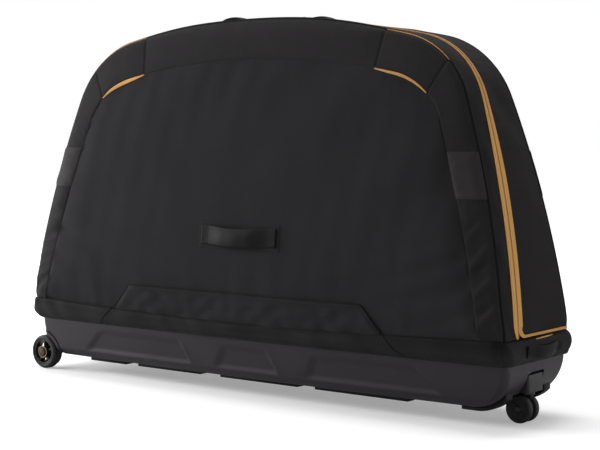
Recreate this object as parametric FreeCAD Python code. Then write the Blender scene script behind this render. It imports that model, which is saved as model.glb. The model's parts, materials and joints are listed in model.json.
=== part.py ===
import FreeCAD
import Part
import math
import os

Vector = FreeCAD.Vector

# All sizes are in millimetres and all angles in degrees.
# The case is built about the middle of its tub and moved to its floor centre when it is written out.

# Clearances
soft_gap = 0.3
seat_gap = 0.1
running_gap = 0.05
cut_reach = 30.0

# Arch of the fabric body, seen from the front
collar_top = 190.0
body_half_length = 688.0
crown_height = 864.0
crown_radius = 2160.0
shoulder_radius = 215.0
side_radius = 2270.0
side_lean = 7.4

# Arch of the panel inside the border
side_border = 54.0
top_border = 82.0
panel_crown_radius = 2000.0
panel_shoulder_radius = 160.0
panel_side_radius = 3000.0
panel_side_lean = 11.0

# Depth of the fabric body from its middle plane
front_foot_depth = 152.0
front_crown_depth = 79.0
back_foot_depth = 133.0
back_crown_depth = 82.0
zip_foot_share = 0.21
zip_crown_share = 0.46
bevel_depth = 12.0

# Fabric thicknesses and bands
panel_thickness = 8.0
border_thickness = 8.0
gusset_thickness = 6.0
piping_width = 6.0
piping_stand = 2.5
tape_width = 15.0
tape_stand = 0.6
tape_depth = 4.0
tape_foot = 13.0
teeth_width = 2.4
teeth_stand = 1.5
top_seam_share = 0.862
top_seam_splay = 21.0
diagonal_seam_share = 0.585

# Stiffening hoops
hoop_radius = 6.0
hoop_foot_rise = 22.0
front_hoop_share = 0.5
back_hoop_foot_share = 0.86
back_hoop_crown_share = 0.55

# Trim sewn on the panels
trim_thickness = 1.4
accent_width = 11.0
patch_low_rise = 284.0
patch_height = 97.0
patch_margin = 2.0
flap_thickness = 2.5
flap_rise = 51.0
flap_top_half = 341.0
flap_foot_half = 392.0

# Carry handles of webbing
handle_length = 236.0
handle_width = 42.0
handle_rise = 184.0
handle_tab = 34.0
handle_ramp = 26.0
handle_lift = 22.0
webbing_thickness = 4.0
grab_length = 112.0
grab_width = 30.0
grab_tab = 20.0
grab_ramp = 16.0
grab_lift = 11.0
front_grab_centre = -100.0
back_grab_centre = 93.0
pull_length = 150.0
pull_width = 25.0
pull_tab = 24.0
pull_ramp = 18.0
pull_lift = 13.0
pull_drop = 28.0

# Moulded tub
tub_setback = 6.0
tub_wall = 5.0
tub_bulge = 12.0
tub_corner = 30.0
tub_clearance = 41.0
tub_shoulder = 128.0
tub_rim_drop = 8.0
tub_lower_inset = 14.0
tub_chamfer_height = 15.0
tub_chamfer_width = 13.0
bow_radius = 88.0
stern_radius = 24.0
facet_depth = 2.2
facet_low_rise = 18.0
facet_high_rise = 77.0
facet_ridge = 12.0
facet_slope = 9.0
facet_splay = 26.0
facet_shares = (0.115, 0.275, 0.725)

# Skid strips under the tub
skid_thickness = 9.0
skid_width = 28.0
skid_inner_share = 0.52
skid_span_shares = ((-0.79, -0.61), (-0.55, -0.25), (-0.16, 0.18), (0.25, 0.62), (0.815, 0.972))

# Fabric collar between tub and body
hem_height = 136.0
collar_thickness = 8.0
collar_lip = 3.0
collar_flare = 18.0
collar_top_corner = 46.0
collar_top_bulge = 2.0
collar_corner_length = 64.0

# Hinge welt along the back
welt_radius = 3.0
welt_margin = 62.0

# Fixed wheels
wheel_radius = 43.0
wheel_width = 26.0
wheel_overhang = 4.0
wheel_inset = 7.0
tyre_thickness = 10.0
tyre_round = 6.0
rim_thickness = 4.0
rim_set_in = 1.5
hub_radius = 13.0
spoke_count = 5
spoke_width = 9.0
spoke_depth = 14.0
trim_ring_outer = 12.4
trim_ring_inner = 10.4
trim_ring_thickness = 1.0
axle_radius = 5.0
axle_head_radius = 9.0
axle_head_thickness = 2.5
arch_clearance = 18.0
well_gap = 6.5
bracket_thickness = 5.0
bracket_radius = 38.0
bracket_trim = 18.0
rivet_radius = 4.0
rivet_circle = 27.0
rivet_spread = 52.0
rivet_count = 3

# Swivel caster
caster_radius = 30.5
caster_width = 14.0
caster_side_gap = 1.2
caster_round = 3.0
caster_dish_depth = 2.0
caster_dish_radius = 19.0
caster_trail = 12.0
caster_axle_radius = 4.0
caster_head_radius = 6.0
caster_head_thickness = 2.0
kingpin_setback = 22.0
kingpin_radius = 6.0
kingpin_height = 40.0
yoke_width = 11.0
yoke_crown_radius = 15.0
yoke_crown_height = 5.5
yoke_boss_radius = 9.0
yoke_lift = 1.0
housing_half_width = 32.0
housing_back = 24.0
housing_height = 43.0
housing_round = 6.0
housing_play = 0.5
recess_gap = 2.0
caster_sweep_gap = 5.0

# Floor rail and the mounts that slide on it
rail_half_length = 430.0
rail_flange_half = 30.0
rail_flange_height = 4.0
rail_web_half = 14.0
rail_height = 24.0
bolt_radius = 2.9
bolt_head_radius = 5.0
bolt_head_height = 4.0
bolt_offset = 22.0
bolt_shares = (-0.88, -0.3, 0.3, 0.88)
saddle_half_width = 24.0
saddle_roof = 20.0
fork_place_share = -0.767
fork_saddle_length = 84.0
fork_post_length = 54.0
fork_post_half = 18.0
fork_axle_rise = 40.0
fork_barrel_radius = 16.0
fork_barrel_length = 110.0
fork_bore_radius = 7.55
lever_length = 72.0
lever_height = 13.0
lever_thickness = 6.0
lever_pin_radius = 4.0
lever_pin_length = 8.0
cradle_place_share = 0.21
cradle_saddle_length = 90.0
cradle_height = 92.0
cradle_half_width = 30.0
cradle_groove = 24.0

# Zipper sliders and their pulls
slider_places = (6.0, 46.0)
slider_length = 24.0
slider_width = 11.0
slider_overlap = 3.0
slider_height = 4.0
slider_lift = 1.0
slider_keel = 5.0
bail_radius = 1.2
bail_rise = 3.2
bail_post = 2.4
pull_tab_length = 32.0
pull_tab_width = 5.0
pull_eye_radius = 2.6
pull_tab_thickness = 2.4

# Sizes worked out from the ones above
far_reach = 2 * body_half_length
front_reach = front_foot_depth + bevel_depth + collar_lip
back_reach = back_foot_depth + bevel_depth + collar_lip
tub_half_length = body_half_length - tub_setback
tub_half_width = back_reach - collar_flare
collar_ledge = collar_flare - tub_bulge
tub_rim = collar_top - tub_rim_drop
tub_floor = tub_clearance + tub_wall
panel_half_length = body_half_length - side_border
panel_crown = crown_height - top_border
wheel_place = -(tub_half_length + wheel_overhang)
wheel_outer = tub_half_width - wheel_inset
wheel_inner = wheel_outer - wheel_width
well_wall = wheel_inner - well_gap
arch_radius = wheel_radius + arch_clearance
kingpin_place = tub_half_length - kingpin_setback
caster_place = kingpin_place - caster_trail
caster_inner = yoke_width / 2 + caster_side_gap
caster_outer = caster_inner + caster_width
caster_sweep = math.hypot(caster_trail + caster_radius, caster_outer) + caster_sweep_gap
yoke_top = 2 * caster_radius + yoke_lift + yoke_crown_height
housing_low = yoke_top + housing_play
housing_high = housing_low + housing_height
rail_top = tub_floor + seat_gap + rail_height
hinge_depth = back_reach + collar_top_bulge + welt_radius + soft_gap
fork_axle_height = collar_top + fork_axle_rise
fork_place = fork_place_share * rail_half_length
cradle_place = cradle_place_share * rail_half_length


def box(low, high):
    """A block between two opposite corners."""
    size = high - low
    return Part.makeBox(size.x, size.y, size.z, low)


def rod(radius, start, end):
    """A round bar between two points."""
    along = end - start
    return Part.makeCylinder(radius, along.Length, start, along)


def tube(outer, inner, start, end):
    return rod(outer, start, end).cut(rod(inner, start, end))


def merge(shapes):
    result = shapes[0]
    for shape in shapes[1:]:
        result = result.fuse(shape)
    return result.removeSplitter()


def solids_of(shapes):
    """Separate solids kept in one file."""
    found = []
    for shape in shapes:
        found.extend(shape.Solids)
    return Part.makeCompound(found)


def curve(start, middle, end):
    return Part.Arc(start, middle, end).toShape()


def leaning(at_foot, at_crown):
    """A plane that leans with height, as its depth for any height."""
    slope = (at_crown - at_foot) / (crown_height - collar_top)
    return lambda height: at_foot + slope * (height - collar_top)


def moved(plane, distance):
    return lambda height: plane(height) + distance


class Arch:
    """Tangent arcs over a straight foot: two sides, two shoulders and a crown."""

    def __init__(self, half_length, crown, crown_round, shoulder_round, side_round, lean):
        lean = math.radians(lean)
        self.crown_round = crown_round
        self.shoulder_round = shoulder_round
        self.side_round = side_round
        self.crown_centre = (0, crown - crown_round)
        self.side_centre = (half_length - side_round * math.cos(lean), collar_top - side_round * math.sin(lean))
        first = crown_round - shoulder_round
        second = side_round - shoulder_round
        across = self.side_centre[0] - self.crown_centre[0]
        up = self.side_centre[1] - self.crown_centre[1]
        span = math.hypot(across, up)
        along = (first ** 2 - second ** 2 + span ** 2) / (2 * span)
        aside = math.sqrt(first ** 2 - along ** 2)
        x = self.crown_centre[0] + (along * across + aside * up) / span
        z = self.crown_centre[1] + (along * up - aside * across) / span
        self.shoulder_centre = (x, z)
        self.high = math.atan2(z - self.crown_centre[1], x - self.crown_centre[0])
        self.low = math.atan2(z - self.side_centre[1], x - self.side_centre[0])

    def shoulder(self, share, inset=0):
        angle = self.high + share * (self.low - self.high)
        radius = self.shoulder_round - inset
        return (self.shoulder_centre[0] + radius * math.cos(angle), self.shoulder_centre[1] + radius * math.sin(angle))

    def crown_at(self, x):
        return self.crown_centre[1] + math.sqrt(self.crown_round ** 2 - x ** 2)

    def side_at(self, z):
        return self.side_centre[0] + math.sqrt(self.side_round ** 2 - (z - self.side_centre[1]) ** 2)

    def arcs(self, inset, foot):
        """Start, middle and end of each arc from the right foot over to the left foot."""
        foot_angle = math.asin((foot - self.side_centre[1]) / (self.side_round - inset))
        right = []
        for centre, radius, start, end in (
            (self.side_centre, self.side_round - inset, foot_angle, self.low),
            (self.shoulder_centre, self.shoulder_round - inset, self.low, self.high),
        ):
            middle = (start + end) / 2
            right.append([(centre[0] + radius * math.cos(a), centre[1] + radius * math.sin(a)) for a in (start, middle, end)])
        top = right[-1][-1]
        crown = (0, self.crown_centre[1] + self.crown_round - inset)
        left = [[(-x, z) for x, z in reversed(arc)] for arc in reversed(right)]
        return right + [[top, crown, (-top[0], top[1])]] + left

    def wire(self, plane, inset=0, foot=collar_top, closed=True):
        edges = []
        for arc in self.arcs(inset, foot):
            edges.append(curve(*[Vector(x, plane(z), z) for x, z in arc]))
        if closed:
            edges.append(Part.makeLine(edges[-1].Vertexes[-1].Point, edges[0].Vertexes[0].Point))
        return Part.Wire(edges)

    def prism(self, inset=0, foot=collar_top):
        face = Part.Face(self.wire(lambda height: -far_reach, inset, foot))
        return face.extrude(Vector(0, 2 * far_reach, 0))

    def ring(self, outer_inset, inner_inset, foot=collar_top):
        return self.prism(outer_inset, foot).cut(self.prism(inner_inset, foot - cut_reach))


body = Arch(body_half_length, crown_height, crown_radius, shoulder_radius, side_radius, side_lean)
panel = Arch(panel_half_length, panel_crown, panel_crown_radius, panel_shoulder_radius, panel_side_radius, panel_side_lean)


def slab(near, far):
    """All that lies between two leaning planes."""
    low = -cut_reach
    high = crown_height + cut_reach
    corners = [Vector(-far_reach, plane(z), z) for plane, z in ((near, low), (near, high), (far, high), (far, low))]
    return Part.Face(Part.makePolygon(corners + corners[:1])).extrude(Vector(2 * far_reach, 0, 0))


def upright_prism(points):
    """An outline in the front view, taken right through the case."""
    corners = [Vector(x, -far_reach, z) for x, z in points]
    return Part.Face(Part.makePolygon(corners + corners[:1])).extrude(Vector(0, 2 * far_reach, 0))


def mirrored(points):
    return [(-x, z) for x, z in points]


def beyond(start, end, before, after):
    """The two ends of a line drawn on past both of its points."""
    length = math.hypot(end[0] - start[0], end[1] - start[1])
    along = ((end[0] - start[0]) / length, (end[1] - start[1]) / length)
    first = (start[0] - before * along[0], start[1] - before * along[1])
    last = (end[0] + after * along[0], end[1] + after * along[1])
    return first, last


# Seams that divide the border and the gusset into sewn lengths
seam_x = top_seam_share * panel.shoulder(0)[0]
seam_start = (seam_x, panel.crown_at(seam_x))
seam_end = (seam_x + top_seam_splay, body.crown_at(seam_x + top_seam_splay))
seam = beyond(seam_start, seam_end, 2 * top_border, 2 * top_border)
diagonal = beyond(panel.shoulder(diagonal_seam_share), body.shoulder(diagonal_seam_share), 2 * top_border, 2 * top_border)
side_region = [diagonal[0], diagonal[1], (far_reach, diagonal[1][1]), (far_reach, 0), (diagonal[0][0], 0)]
shoulder_region = [seam[0], seam[1], diagonal[1], diagonal[0]]
top_region = [seam[0], seam[1], (-seam[1][0], seam[1][1]), (-seam[0][0], seam[0][1])]
sewn_regions = [
    upright_prism(side_region),
    upright_prism(shoulder_region),
    upright_prism(top_region),
    upright_prism(mirrored(shoulder_region)),
    upright_prism(mirrored(side_region)),
]


def sewn_lengths(shape):
    return solids_of([shape.common(region) for region in sewn_regions])


def webbing(length, tab, ramp, lift, thickness, place, width_vector):
    """A strap with two flat tabs and a raised middle; place maps along and out to a point."""
    half = length / 2
    outline = [(-half, 0), (-half, thickness), (tab - half, thickness), (tab + ramp - half, lift + thickness)]
    outline += [(-u, v) for u, v in reversed(outline)]
    under = [(half - tab, 0), (half - tab - ramp, lift)]
    outline += under + [(-u, v) for u, v in reversed(under)]
    corners = [place(u, v) for u, v in outline]
    return Part.Face(Part.makePolygon(corners + corners[:1])).extrude(width_vector)


parts = {}
frame_points = {}


# Fabric halves: the front half is sewn to the collar, the back half opens
front_edge = leaning(-front_foot_depth, -front_crown_depth)
back_edge = leaning(back_foot_depth, back_crown_depth)


def between(share_foot, share_crown):
    at_foot = front_edge(collar_top) + share_foot * (back_edge(collar_top) - front_edge(collar_top))
    at_crown = front_edge(crown_height) + share_crown * (back_edge(crown_height) - front_edge(crown_height))
    return leaning(at_foot, at_crown)


zip_line = between(zip_foot_share, zip_crown_share)
tape_start = soft_gap / 2 + teeth_width + soft_gap
tape_end = tape_start + tape_width
stack_start = border_thickness + soft_gap
stack_end = stack_start + piping_width


def fabric_half(name, edge, out):
    """Panel, border, piping, gusset, zipper tape, teeth, trim and handle of one half."""
    face = moved(edge, out * bevel_depth)
    frustum_wires = [body.wire(moved(edge, -out * border_thickness)), body.wire(edge), panel.wire(face)]
    frustum = Part.makeLoft(frustum_wires, True, True)
    parts[name + "_border"] = sewn_lengths(frustum.cut(panel.prism(-soft_gap, collar_top - cut_reach)))
    panel_slab = slab(face, moved(face, -out * panel_thickness))
    parts[name + "_panel"] = panel.prism().common(panel_slab)
    piping_slab = slab(moved(edge, -out * stack_start), moved(edge, -out * stack_end))
    parts[name + "_piping"] = body.ring(-piping_stand, gusset_thickness).common(piping_slab)
    gusset_foot = collar_top
    if out > 0:
        gusset_foot = collar_top + tape_foot + soft_gap
    gusset_slab = slab(moved(edge, -out * (stack_end + soft_gap)), moved(zip_line, out * (tape_end + soft_gap)))
    parts[name + "_gusset"] = sewn_lengths(body.ring(0, gusset_thickness, gusset_foot).common(gusset_slab))
    tape_slab = slab(moved(zip_line, out * tape_start), moved(zip_line, out * tape_end))
    tape = body.ring(-tape_stand, tape_depth).common(tape_slab)
    if out > 0:
        foot_slab = slab(moved(zip_line, tape_start), moved(edge, -stack_end - soft_gap))
        foot_band = box(Vector(-far_reach, -far_reach, collar_top), Vector(far_reach, far_reach, collar_top + tape_foot))
        tape = tape.fuse(body.ring(-tape_stand, tape_depth).common(foot_slab).common(foot_band)).removeSplitter()
    parts[name + "_zipper_tape"] = tape
    teeth_slab = slab(moved(zip_line, out * soft_gap / 2), moved(zip_line, out * (soft_gap / 2 + teeth_width)))
    parts[name + "_zipper_teeth"] = body.ring(-teeth_stand, tape_depth).common(teeth_slab)

    trim_low = moved(face, out * soft_gap)
    trim_layer = slab(trim_low, moved(trim_low, out * trim_thickness))
    start = seam_start
    middle = panel.shoulder(diagonal_seam_share / 2)
    end = panel.shoulder(diagonal_seam_share)
    chord = math.hypot(end[0] - start[0], end[1] - start[1])
    inward = ((end[1] - start[1]) / chord, -(end[0] - start[0]) / chord)
    inner = (middle[0] + accent_width * inward[0], middle[1] + accent_width * inward[1])
    accents = []
    for side in (1, -1):
        tips = [Vector(side * x, -far_reach, z) for x, z in (start, middle, end, inner)]
        crescent = Part.Wire([curve(tips[0], tips[1], tips[2]), curve(tips[2], tips[3], tips[0])])
        accents.append(Part.Face(crescent).extrude(Vector(0, 2 * far_reach, 0)).common(trim_layer).common(panel.prism()))
    parts[name + "_accents"] = solids_of(accents)

    low_skin = frustum.copy()
    low_skin.translate(Vector(0, out * soft_gap, 0))
    high_skin = frustum.copy()
    high_skin.translate(Vector(0, out * (soft_gap + trim_thickness), 0))
    skin = high_skin.cut(low_skin).cut(panel.prism(-patch_margin, collar_top - cut_reach))
    skin = skin.common(body.prism(patch_margin))
    patch_low = collar_top + patch_low_rise
    patches = []
    for side in (1, -1):
        ends = sorted((0, side * far_reach))
        window = box(Vector(ends[0], -far_reach, patch_low), Vector(ends[1], far_reach, patch_low + patch_height))
        patches.append(skin.common(window))
    parts[name + "_patches"] = solids_of(patches)

    handle_low = collar_top + handle_rise - handle_width / 2
    base = moved(face, out * soft_gap)
    rise = Vector(0, base(handle_low + handle_width) - base(handle_low), handle_width)
    parts[name + "_handle"] = webbing(
        handle_length, handle_tab, handle_ramp, handle_lift, webbing_thickness,
        lambda u, v: Vector(u, base(handle_low) + out * v, handle_low), rise,
    )


fabric_half("front", front_edge, -1)
fabric_half("back", back_edge, 1)


def stiffener(plane):
    path = body.wire(plane, gusset_thickness + hoop_radius + 2 * soft_gap, collar_top + hoop_foot_rise, False)
    start = path.Edges[0]
    point = start.valueAt(start.FirstParameter)
    ring = Part.Wire(Part.makeCircle(hoop_radius, point, start.tangentAt(start.FirstParameter)))
    return path.makePipeShell([ring], True, False)


front_hoop_foot = (front_edge(collar_top) + stack_end + zip_line(collar_top) - tape_end) * front_hoop_share
front_hoop_crown = (front_edge(crown_height) + stack_end + zip_line(crown_height) - tape_end) * front_hoop_share
parts["front_hoop"] = stiffener(leaning(front_hoop_foot, front_hoop_crown))
parts["back_hoop"] = stiffener(between(back_hoop_foot_share, zip_crown_share + (1 - zip_crown_share) * back_hoop_crown_share))

flap_layer = slab(moved(front_edge, -bevel_depth - soft_gap), moved(front_edge, -bevel_depth - soft_gap - flap_thickness))
flap_high = collar_top + flap_rise
flap_outline = [(-flap_foot_half, collar_top), (-flap_top_half, flap_high), (flap_top_half, flap_high), (flap_foot_half, collar_top)]
parts["pocket_flap"] = upright_prism(flap_outline).common(flap_layer)


def grab(centre, near, far):
    """A low webbing handle on the crown, between two depths."""
    half = grab_length / 2
    left = body.crown_at(centre - half)
    right = body.crown_at(centre + half)
    slope = (right - left) / grab_length
    lift = grab_tab * (grab_length - grab_tab) / (2 * crown_radius) + soft_gap
    middle = (left + right) / 2
    low = (near + far - grab_width) / 2
    return webbing(
        grab_length, grab_tab, grab_ramp, grab_lift, webbing_thickness,
        lambda u, v: Vector(centre + u, low, middle + slope * u + lift + v), Vector(0, grab_width, 0),
    )


front_near = front_edge(crown_height) + stack_end
parts["front_grab"] = grab(front_grab_centre, front_near, zip_line(crown_height) - tape_end)
parts["back_grab"] = grab(back_grab_centre, zip_line(crown_height) + tape_end, back_edge(crown_height) - stack_end)


# Moulded tub
def plan_wire(half_length, near, far, bulge, corner, z):
    """A rectangle with bowed long sides and round corners."""
    middle = (near + far) / 2
    half_width = (far - near) / 2
    bow = (half_length ** 2 + bulge ** 2) / (2 * bulge)
    centre = bow - half_width - bulge
    reach = half_length - corner
    corner_y = math.sqrt((bow - corner) ** 2 - reach ** 2) - centre
    share = bow / (bow - corner)
    touch = (share * reach, share * (corner_y + centre) - centre)
    diagonal_x = (touch[0] - reach + corner) / 2
    diagonal_y = (touch[1] - corner_y) / 2
    scale = corner / math.hypot(diagonal_x, diagonal_y)
    knee = (reach + scale * diagonal_x, corner_y + scale * diagonal_y)

    def at(x, y):
        return Vector(x, middle + y, z)

    edges = [curve(at(-touch[0], -touch[1]), at(0, -half_width - bulge), at(touch[0], -touch[1]))]
    edges.append(curve(at(touch[0], -touch[1]), at(knee[0], -knee[1]), at(half_length, -corner_y)))
    edges.append(Part.makeLine(at(half_length, -corner_y), at(half_length, corner_y)))
    edges.append(curve(at(half_length, corner_y), at(knee[0], knee[1]), at(touch[0], touch[1])))
    edges.append(curve(at(touch[0], touch[1]), at(0, half_width + bulge), at(-touch[0], touch[1])))
    edges.append(curve(at(-touch[0], touch[1]), at(-knee[0], knee[1]), at(-half_length, corner_y)))
    edges.append(Part.makeLine(at(-half_length, corner_y), at(-half_length, -corner_y)))
    edges.append(curve(at(-half_length, -corner_y), at(-knee[0], -knee[1]), at(-touch[0], -touch[1])))
    return Part.Wire(edges)


def tub_profile(inset, top):
    """Side view of the tub: upright stern, flat bottom and a round bow."""
    left = inset - tub_half_length
    right = tub_half_length - inset
    low = tub_clearance + inset
    bow = bow_radius - inset
    bow_x = tub_half_length - bow_radius
    bow_z = tub_clearance + bow_radius
    stern = stern_radius
    turn = math.sqrt(2) / 2

    def at(x, z):
        return Vector(x, -far_reach, z)

    edges = [Part.makeLine(at(right, top), at(left, top)), Part.makeLine(at(left, top), at(left, low + stern))]
    stern_knee = at(left + stern - stern * turn, low + stern - stern * turn)
    edges.append(curve(at(left, low + stern), stern_knee, at(left + stern, low)))
    edges.append(Part.makeLine(at(left + stern, low), at(bow_x, low)))
    edges.append(curve(at(bow_x, low), at(bow_x + bow * turn, bow_z - bow * turn), at(right, bow_z)))
    edges.append(Part.makeLine(at(right, bow_z), at(right, top)))
    return Part.Face(Part.Wire(edges)).extrude(Vector(0, 2 * far_reach, 0))


def tub_form(inset, top):
    """The tub as a block, smaller by an inset all round."""
    levels = [
        (tub_clearance, tub_half_width - tub_lower_inset - tub_chamfer_width),
        (tub_clearance + tub_chamfer_height, tub_half_width - tub_lower_inset),
        (tub_shoulder, tub_half_width),
        (top, tub_half_width),
    ]
    wires = []
    for z, half_width in levels:
        wide = half_width - inset
        wires.append(plan_wire(tub_half_length - inset, -wide, wide, tub_bulge, tub_corner - inset, z))
    return Part.makeLoft(wires, True, True).common(tub_profile(inset, top))


def wheel_well(radius, wall, side):
    """The space a fixed wheel turns in, open to the outside."""
    start = Vector(wheel_place, side * wall, wheel_radius)
    return rod(radius, start, Vector(wheel_place, side * (tub_half_width + tub_bulge + cut_reach), wheel_radius))


def caster_space(grow):
    """The space the caster swings in and the seat of its housing."""
    base = Vector(kingpin_place, 0, -cut_reach)
    sweep = rod(caster_sweep + grow, base, Vector(kingpin_place, 0, housing_low + grow))
    half = housing_half_width + recess_gap + grow
    back = kingpin_place - housing_back - seat_gap - grow
    seat_high = housing_high + recess_gap + grow
    seat = box(Vector(back, -half, 0), Vector(far_reach, half, seat_high))
    return sweep.fuse(seat)


cavity = tub_form(tub_wall, tub_rim + cut_reach)
tub = tub_form(0, tub_rim)
for side in (1, -1):
    cavity = cavity.cut(wheel_well(arch_radius + tub_wall, well_wall - tub_wall, side))
cavity = cavity.cut(caster_space(tub_wall))
tub = tub.cut(cavity)
for side in (1, -1):
    tub = tub.cut(wheel_well(arch_radius, well_wall, side))
tub = tub.cut(caster_space(0))

# Shallow facets pressed into both long sides
facet_low = tub_clearance + facet_low_rise
facet_high = tub_clearance + facet_high_rise


def facet_block(x_low, x_high, side):
    """A trapezoid that narrows inwards, so the pressed panel has sloping edges."""
    outer = tub_half_width + tub_bulge + cut_reach
    inner = tub_half_width - tub_lower_inset - cut_reach
    wires = []
    for depth, shrink in ((outer, 0), (inner, facet_slope)):
        points = [
            (x_low[0] + shrink, facet_low + shrink), (x_low[1] - shrink, facet_low + shrink),
            (x_high[1] - shrink, facet_high - shrink), (x_high[0] + shrink, facet_high - shrink),
        ]
        corners = [Vector(x, side * depth, z) for x, z in points]
        wires.append(Part.makePolygon(corners + corners[:1]))
    return Part.makeLoft(wires, True, True)


facet_skin = tub_form(0, tub_rim).cut(tub_form(facet_depth, tub_rim + cut_reach))
ridges = [share * tub_half_length for share in facet_shares]
splays = (facet_splay, -facet_splay, facet_splay)
edges_high = [x - splay / 2 for x, splay in zip(ridges, splays)]
edges_low = [x + splay / 2 for x, splay in zip(ridges, splays)]
half_ridge = facet_ridge / 2
spans = [((-edges_low[0] + half_ridge, edges_low[0] - half_ridge), (-edges_high[0] + half_ridge, edges_high[0] - half_ridge))]
for k in range(len(ridges) - 1):
    low_span = (edges_low[k] + half_ridge, edges_low[k + 1] - half_ridge)
    high_span = (edges_high[k] + half_ridge, edges_high[k + 1] - half_ridge)
    spans.append((low_span, high_span))
    spans.append(((-low_span[1], -low_span[0]), (-high_span[1], -high_span[0])))
for low_span, high_span in spans:
    for side in (1, -1):
        tub = tub.cut(facet_skin.common(facet_block(low_span, high_span, side)))

# Skid strips follow the bottom and the bow
skid_ring = tub_profile(-skid_thickness, tub_rim).cut(tub_profile(-seat_gap, tub_rim))
skid_ring = skid_ring.cut(caster_space(seat_gap))
skids = []
skid_inner = skid_inner_share * tub_half_width
for side in (1, -1):
    near, far = sorted((side * skid_inner, side * (skid_inner + skid_width)))
    for start_share, end_share in skid_span_shares:
        low = Vector(start_share * tub_half_length, near, -cut_reach)
        high = Vector(end_share * tub_half_length, far, tub_rim)
        skids.append(skid_ring.common(box(low, high)))
parts["skid_strips"] = solids_of(skids)

# Fabric collar, sewn from four lengths
collar_high = collar_top - soft_gap
hem_half_length = tub_half_length + soft_gap
hem_half_width = tub_half_width + soft_gap
outer_wires = [
    plan_wire(hem_half_length + collar_thickness, -hem_half_width - collar_thickness, hem_half_width + collar_thickness,
              tub_bulge, tub_corner + collar_thickness, hem_height),
    plan_wire(body_half_length + collar_lip, -front_reach, back_reach, collar_top_bulge, collar_top_corner, collar_high),
]
inner_wires = [
    plan_wire(hem_half_length, -hem_half_width, hem_half_width, tub_bulge, tub_corner, hem_height),
    plan_wire(hem_half_length, collar_ledge - front_reach, back_reach - collar_ledge, collar_top_bulge,
              tub_corner, collar_high),
]
collar = Part.makeLoft(outer_wires, True, True).cut(Part.makeLoft(inner_wires, True, True))
collar_end = body_half_length - collar_corner_length
parts["front_collar"] = collar.common(box(Vector(-collar_end, -far_reach, 0), Vector(collar_end, 0, crown_height)))
parts["back_collar"] = collar.common(box(Vector(-collar_end, 0, 0), Vector(collar_end, far_reach, crown_height)))
parts["wheel_end_collar"] = collar.common(box(Vector(-far_reach, -far_reach, 0), Vector(-collar_end, far_reach, crown_height)))
parts["caster_end_collar"] = collar.common(box(Vector(collar_end, -far_reach, 0), Vector(far_reach, far_reach, crown_height)))

welt_half = panel_half_length - welt_margin
parts["hinge_welt"] = rod(welt_radius, Vector(-welt_half, hinge_depth, collar_top), Vector(welt_half, hinge_depth, collar_top))
frame_points["door_hinge"] = Vector(0, hinge_depth, collar_top)

# Pull strap on the caster end of the collar
pull_low = collar_top - pull_drop - pull_width / 2
collar_share = (collar_high - pull_low) / (collar_high - hem_height)
collar_run = body_half_length + collar_lip - hem_half_length - collar_thickness
collar_face = body_half_length + collar_lip - collar_run * collar_share
pull_lean = collar_run * pull_width / (collar_high - hem_height)
parts["pull_strap"] = webbing(
    pull_length, pull_tab, pull_ramp, pull_lift, webbing_thickness,
    lambda u, v: Vector(collar_face + soft_gap + v, u, pull_low), Vector(pull_lean, 0, pull_width),
)


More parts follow.
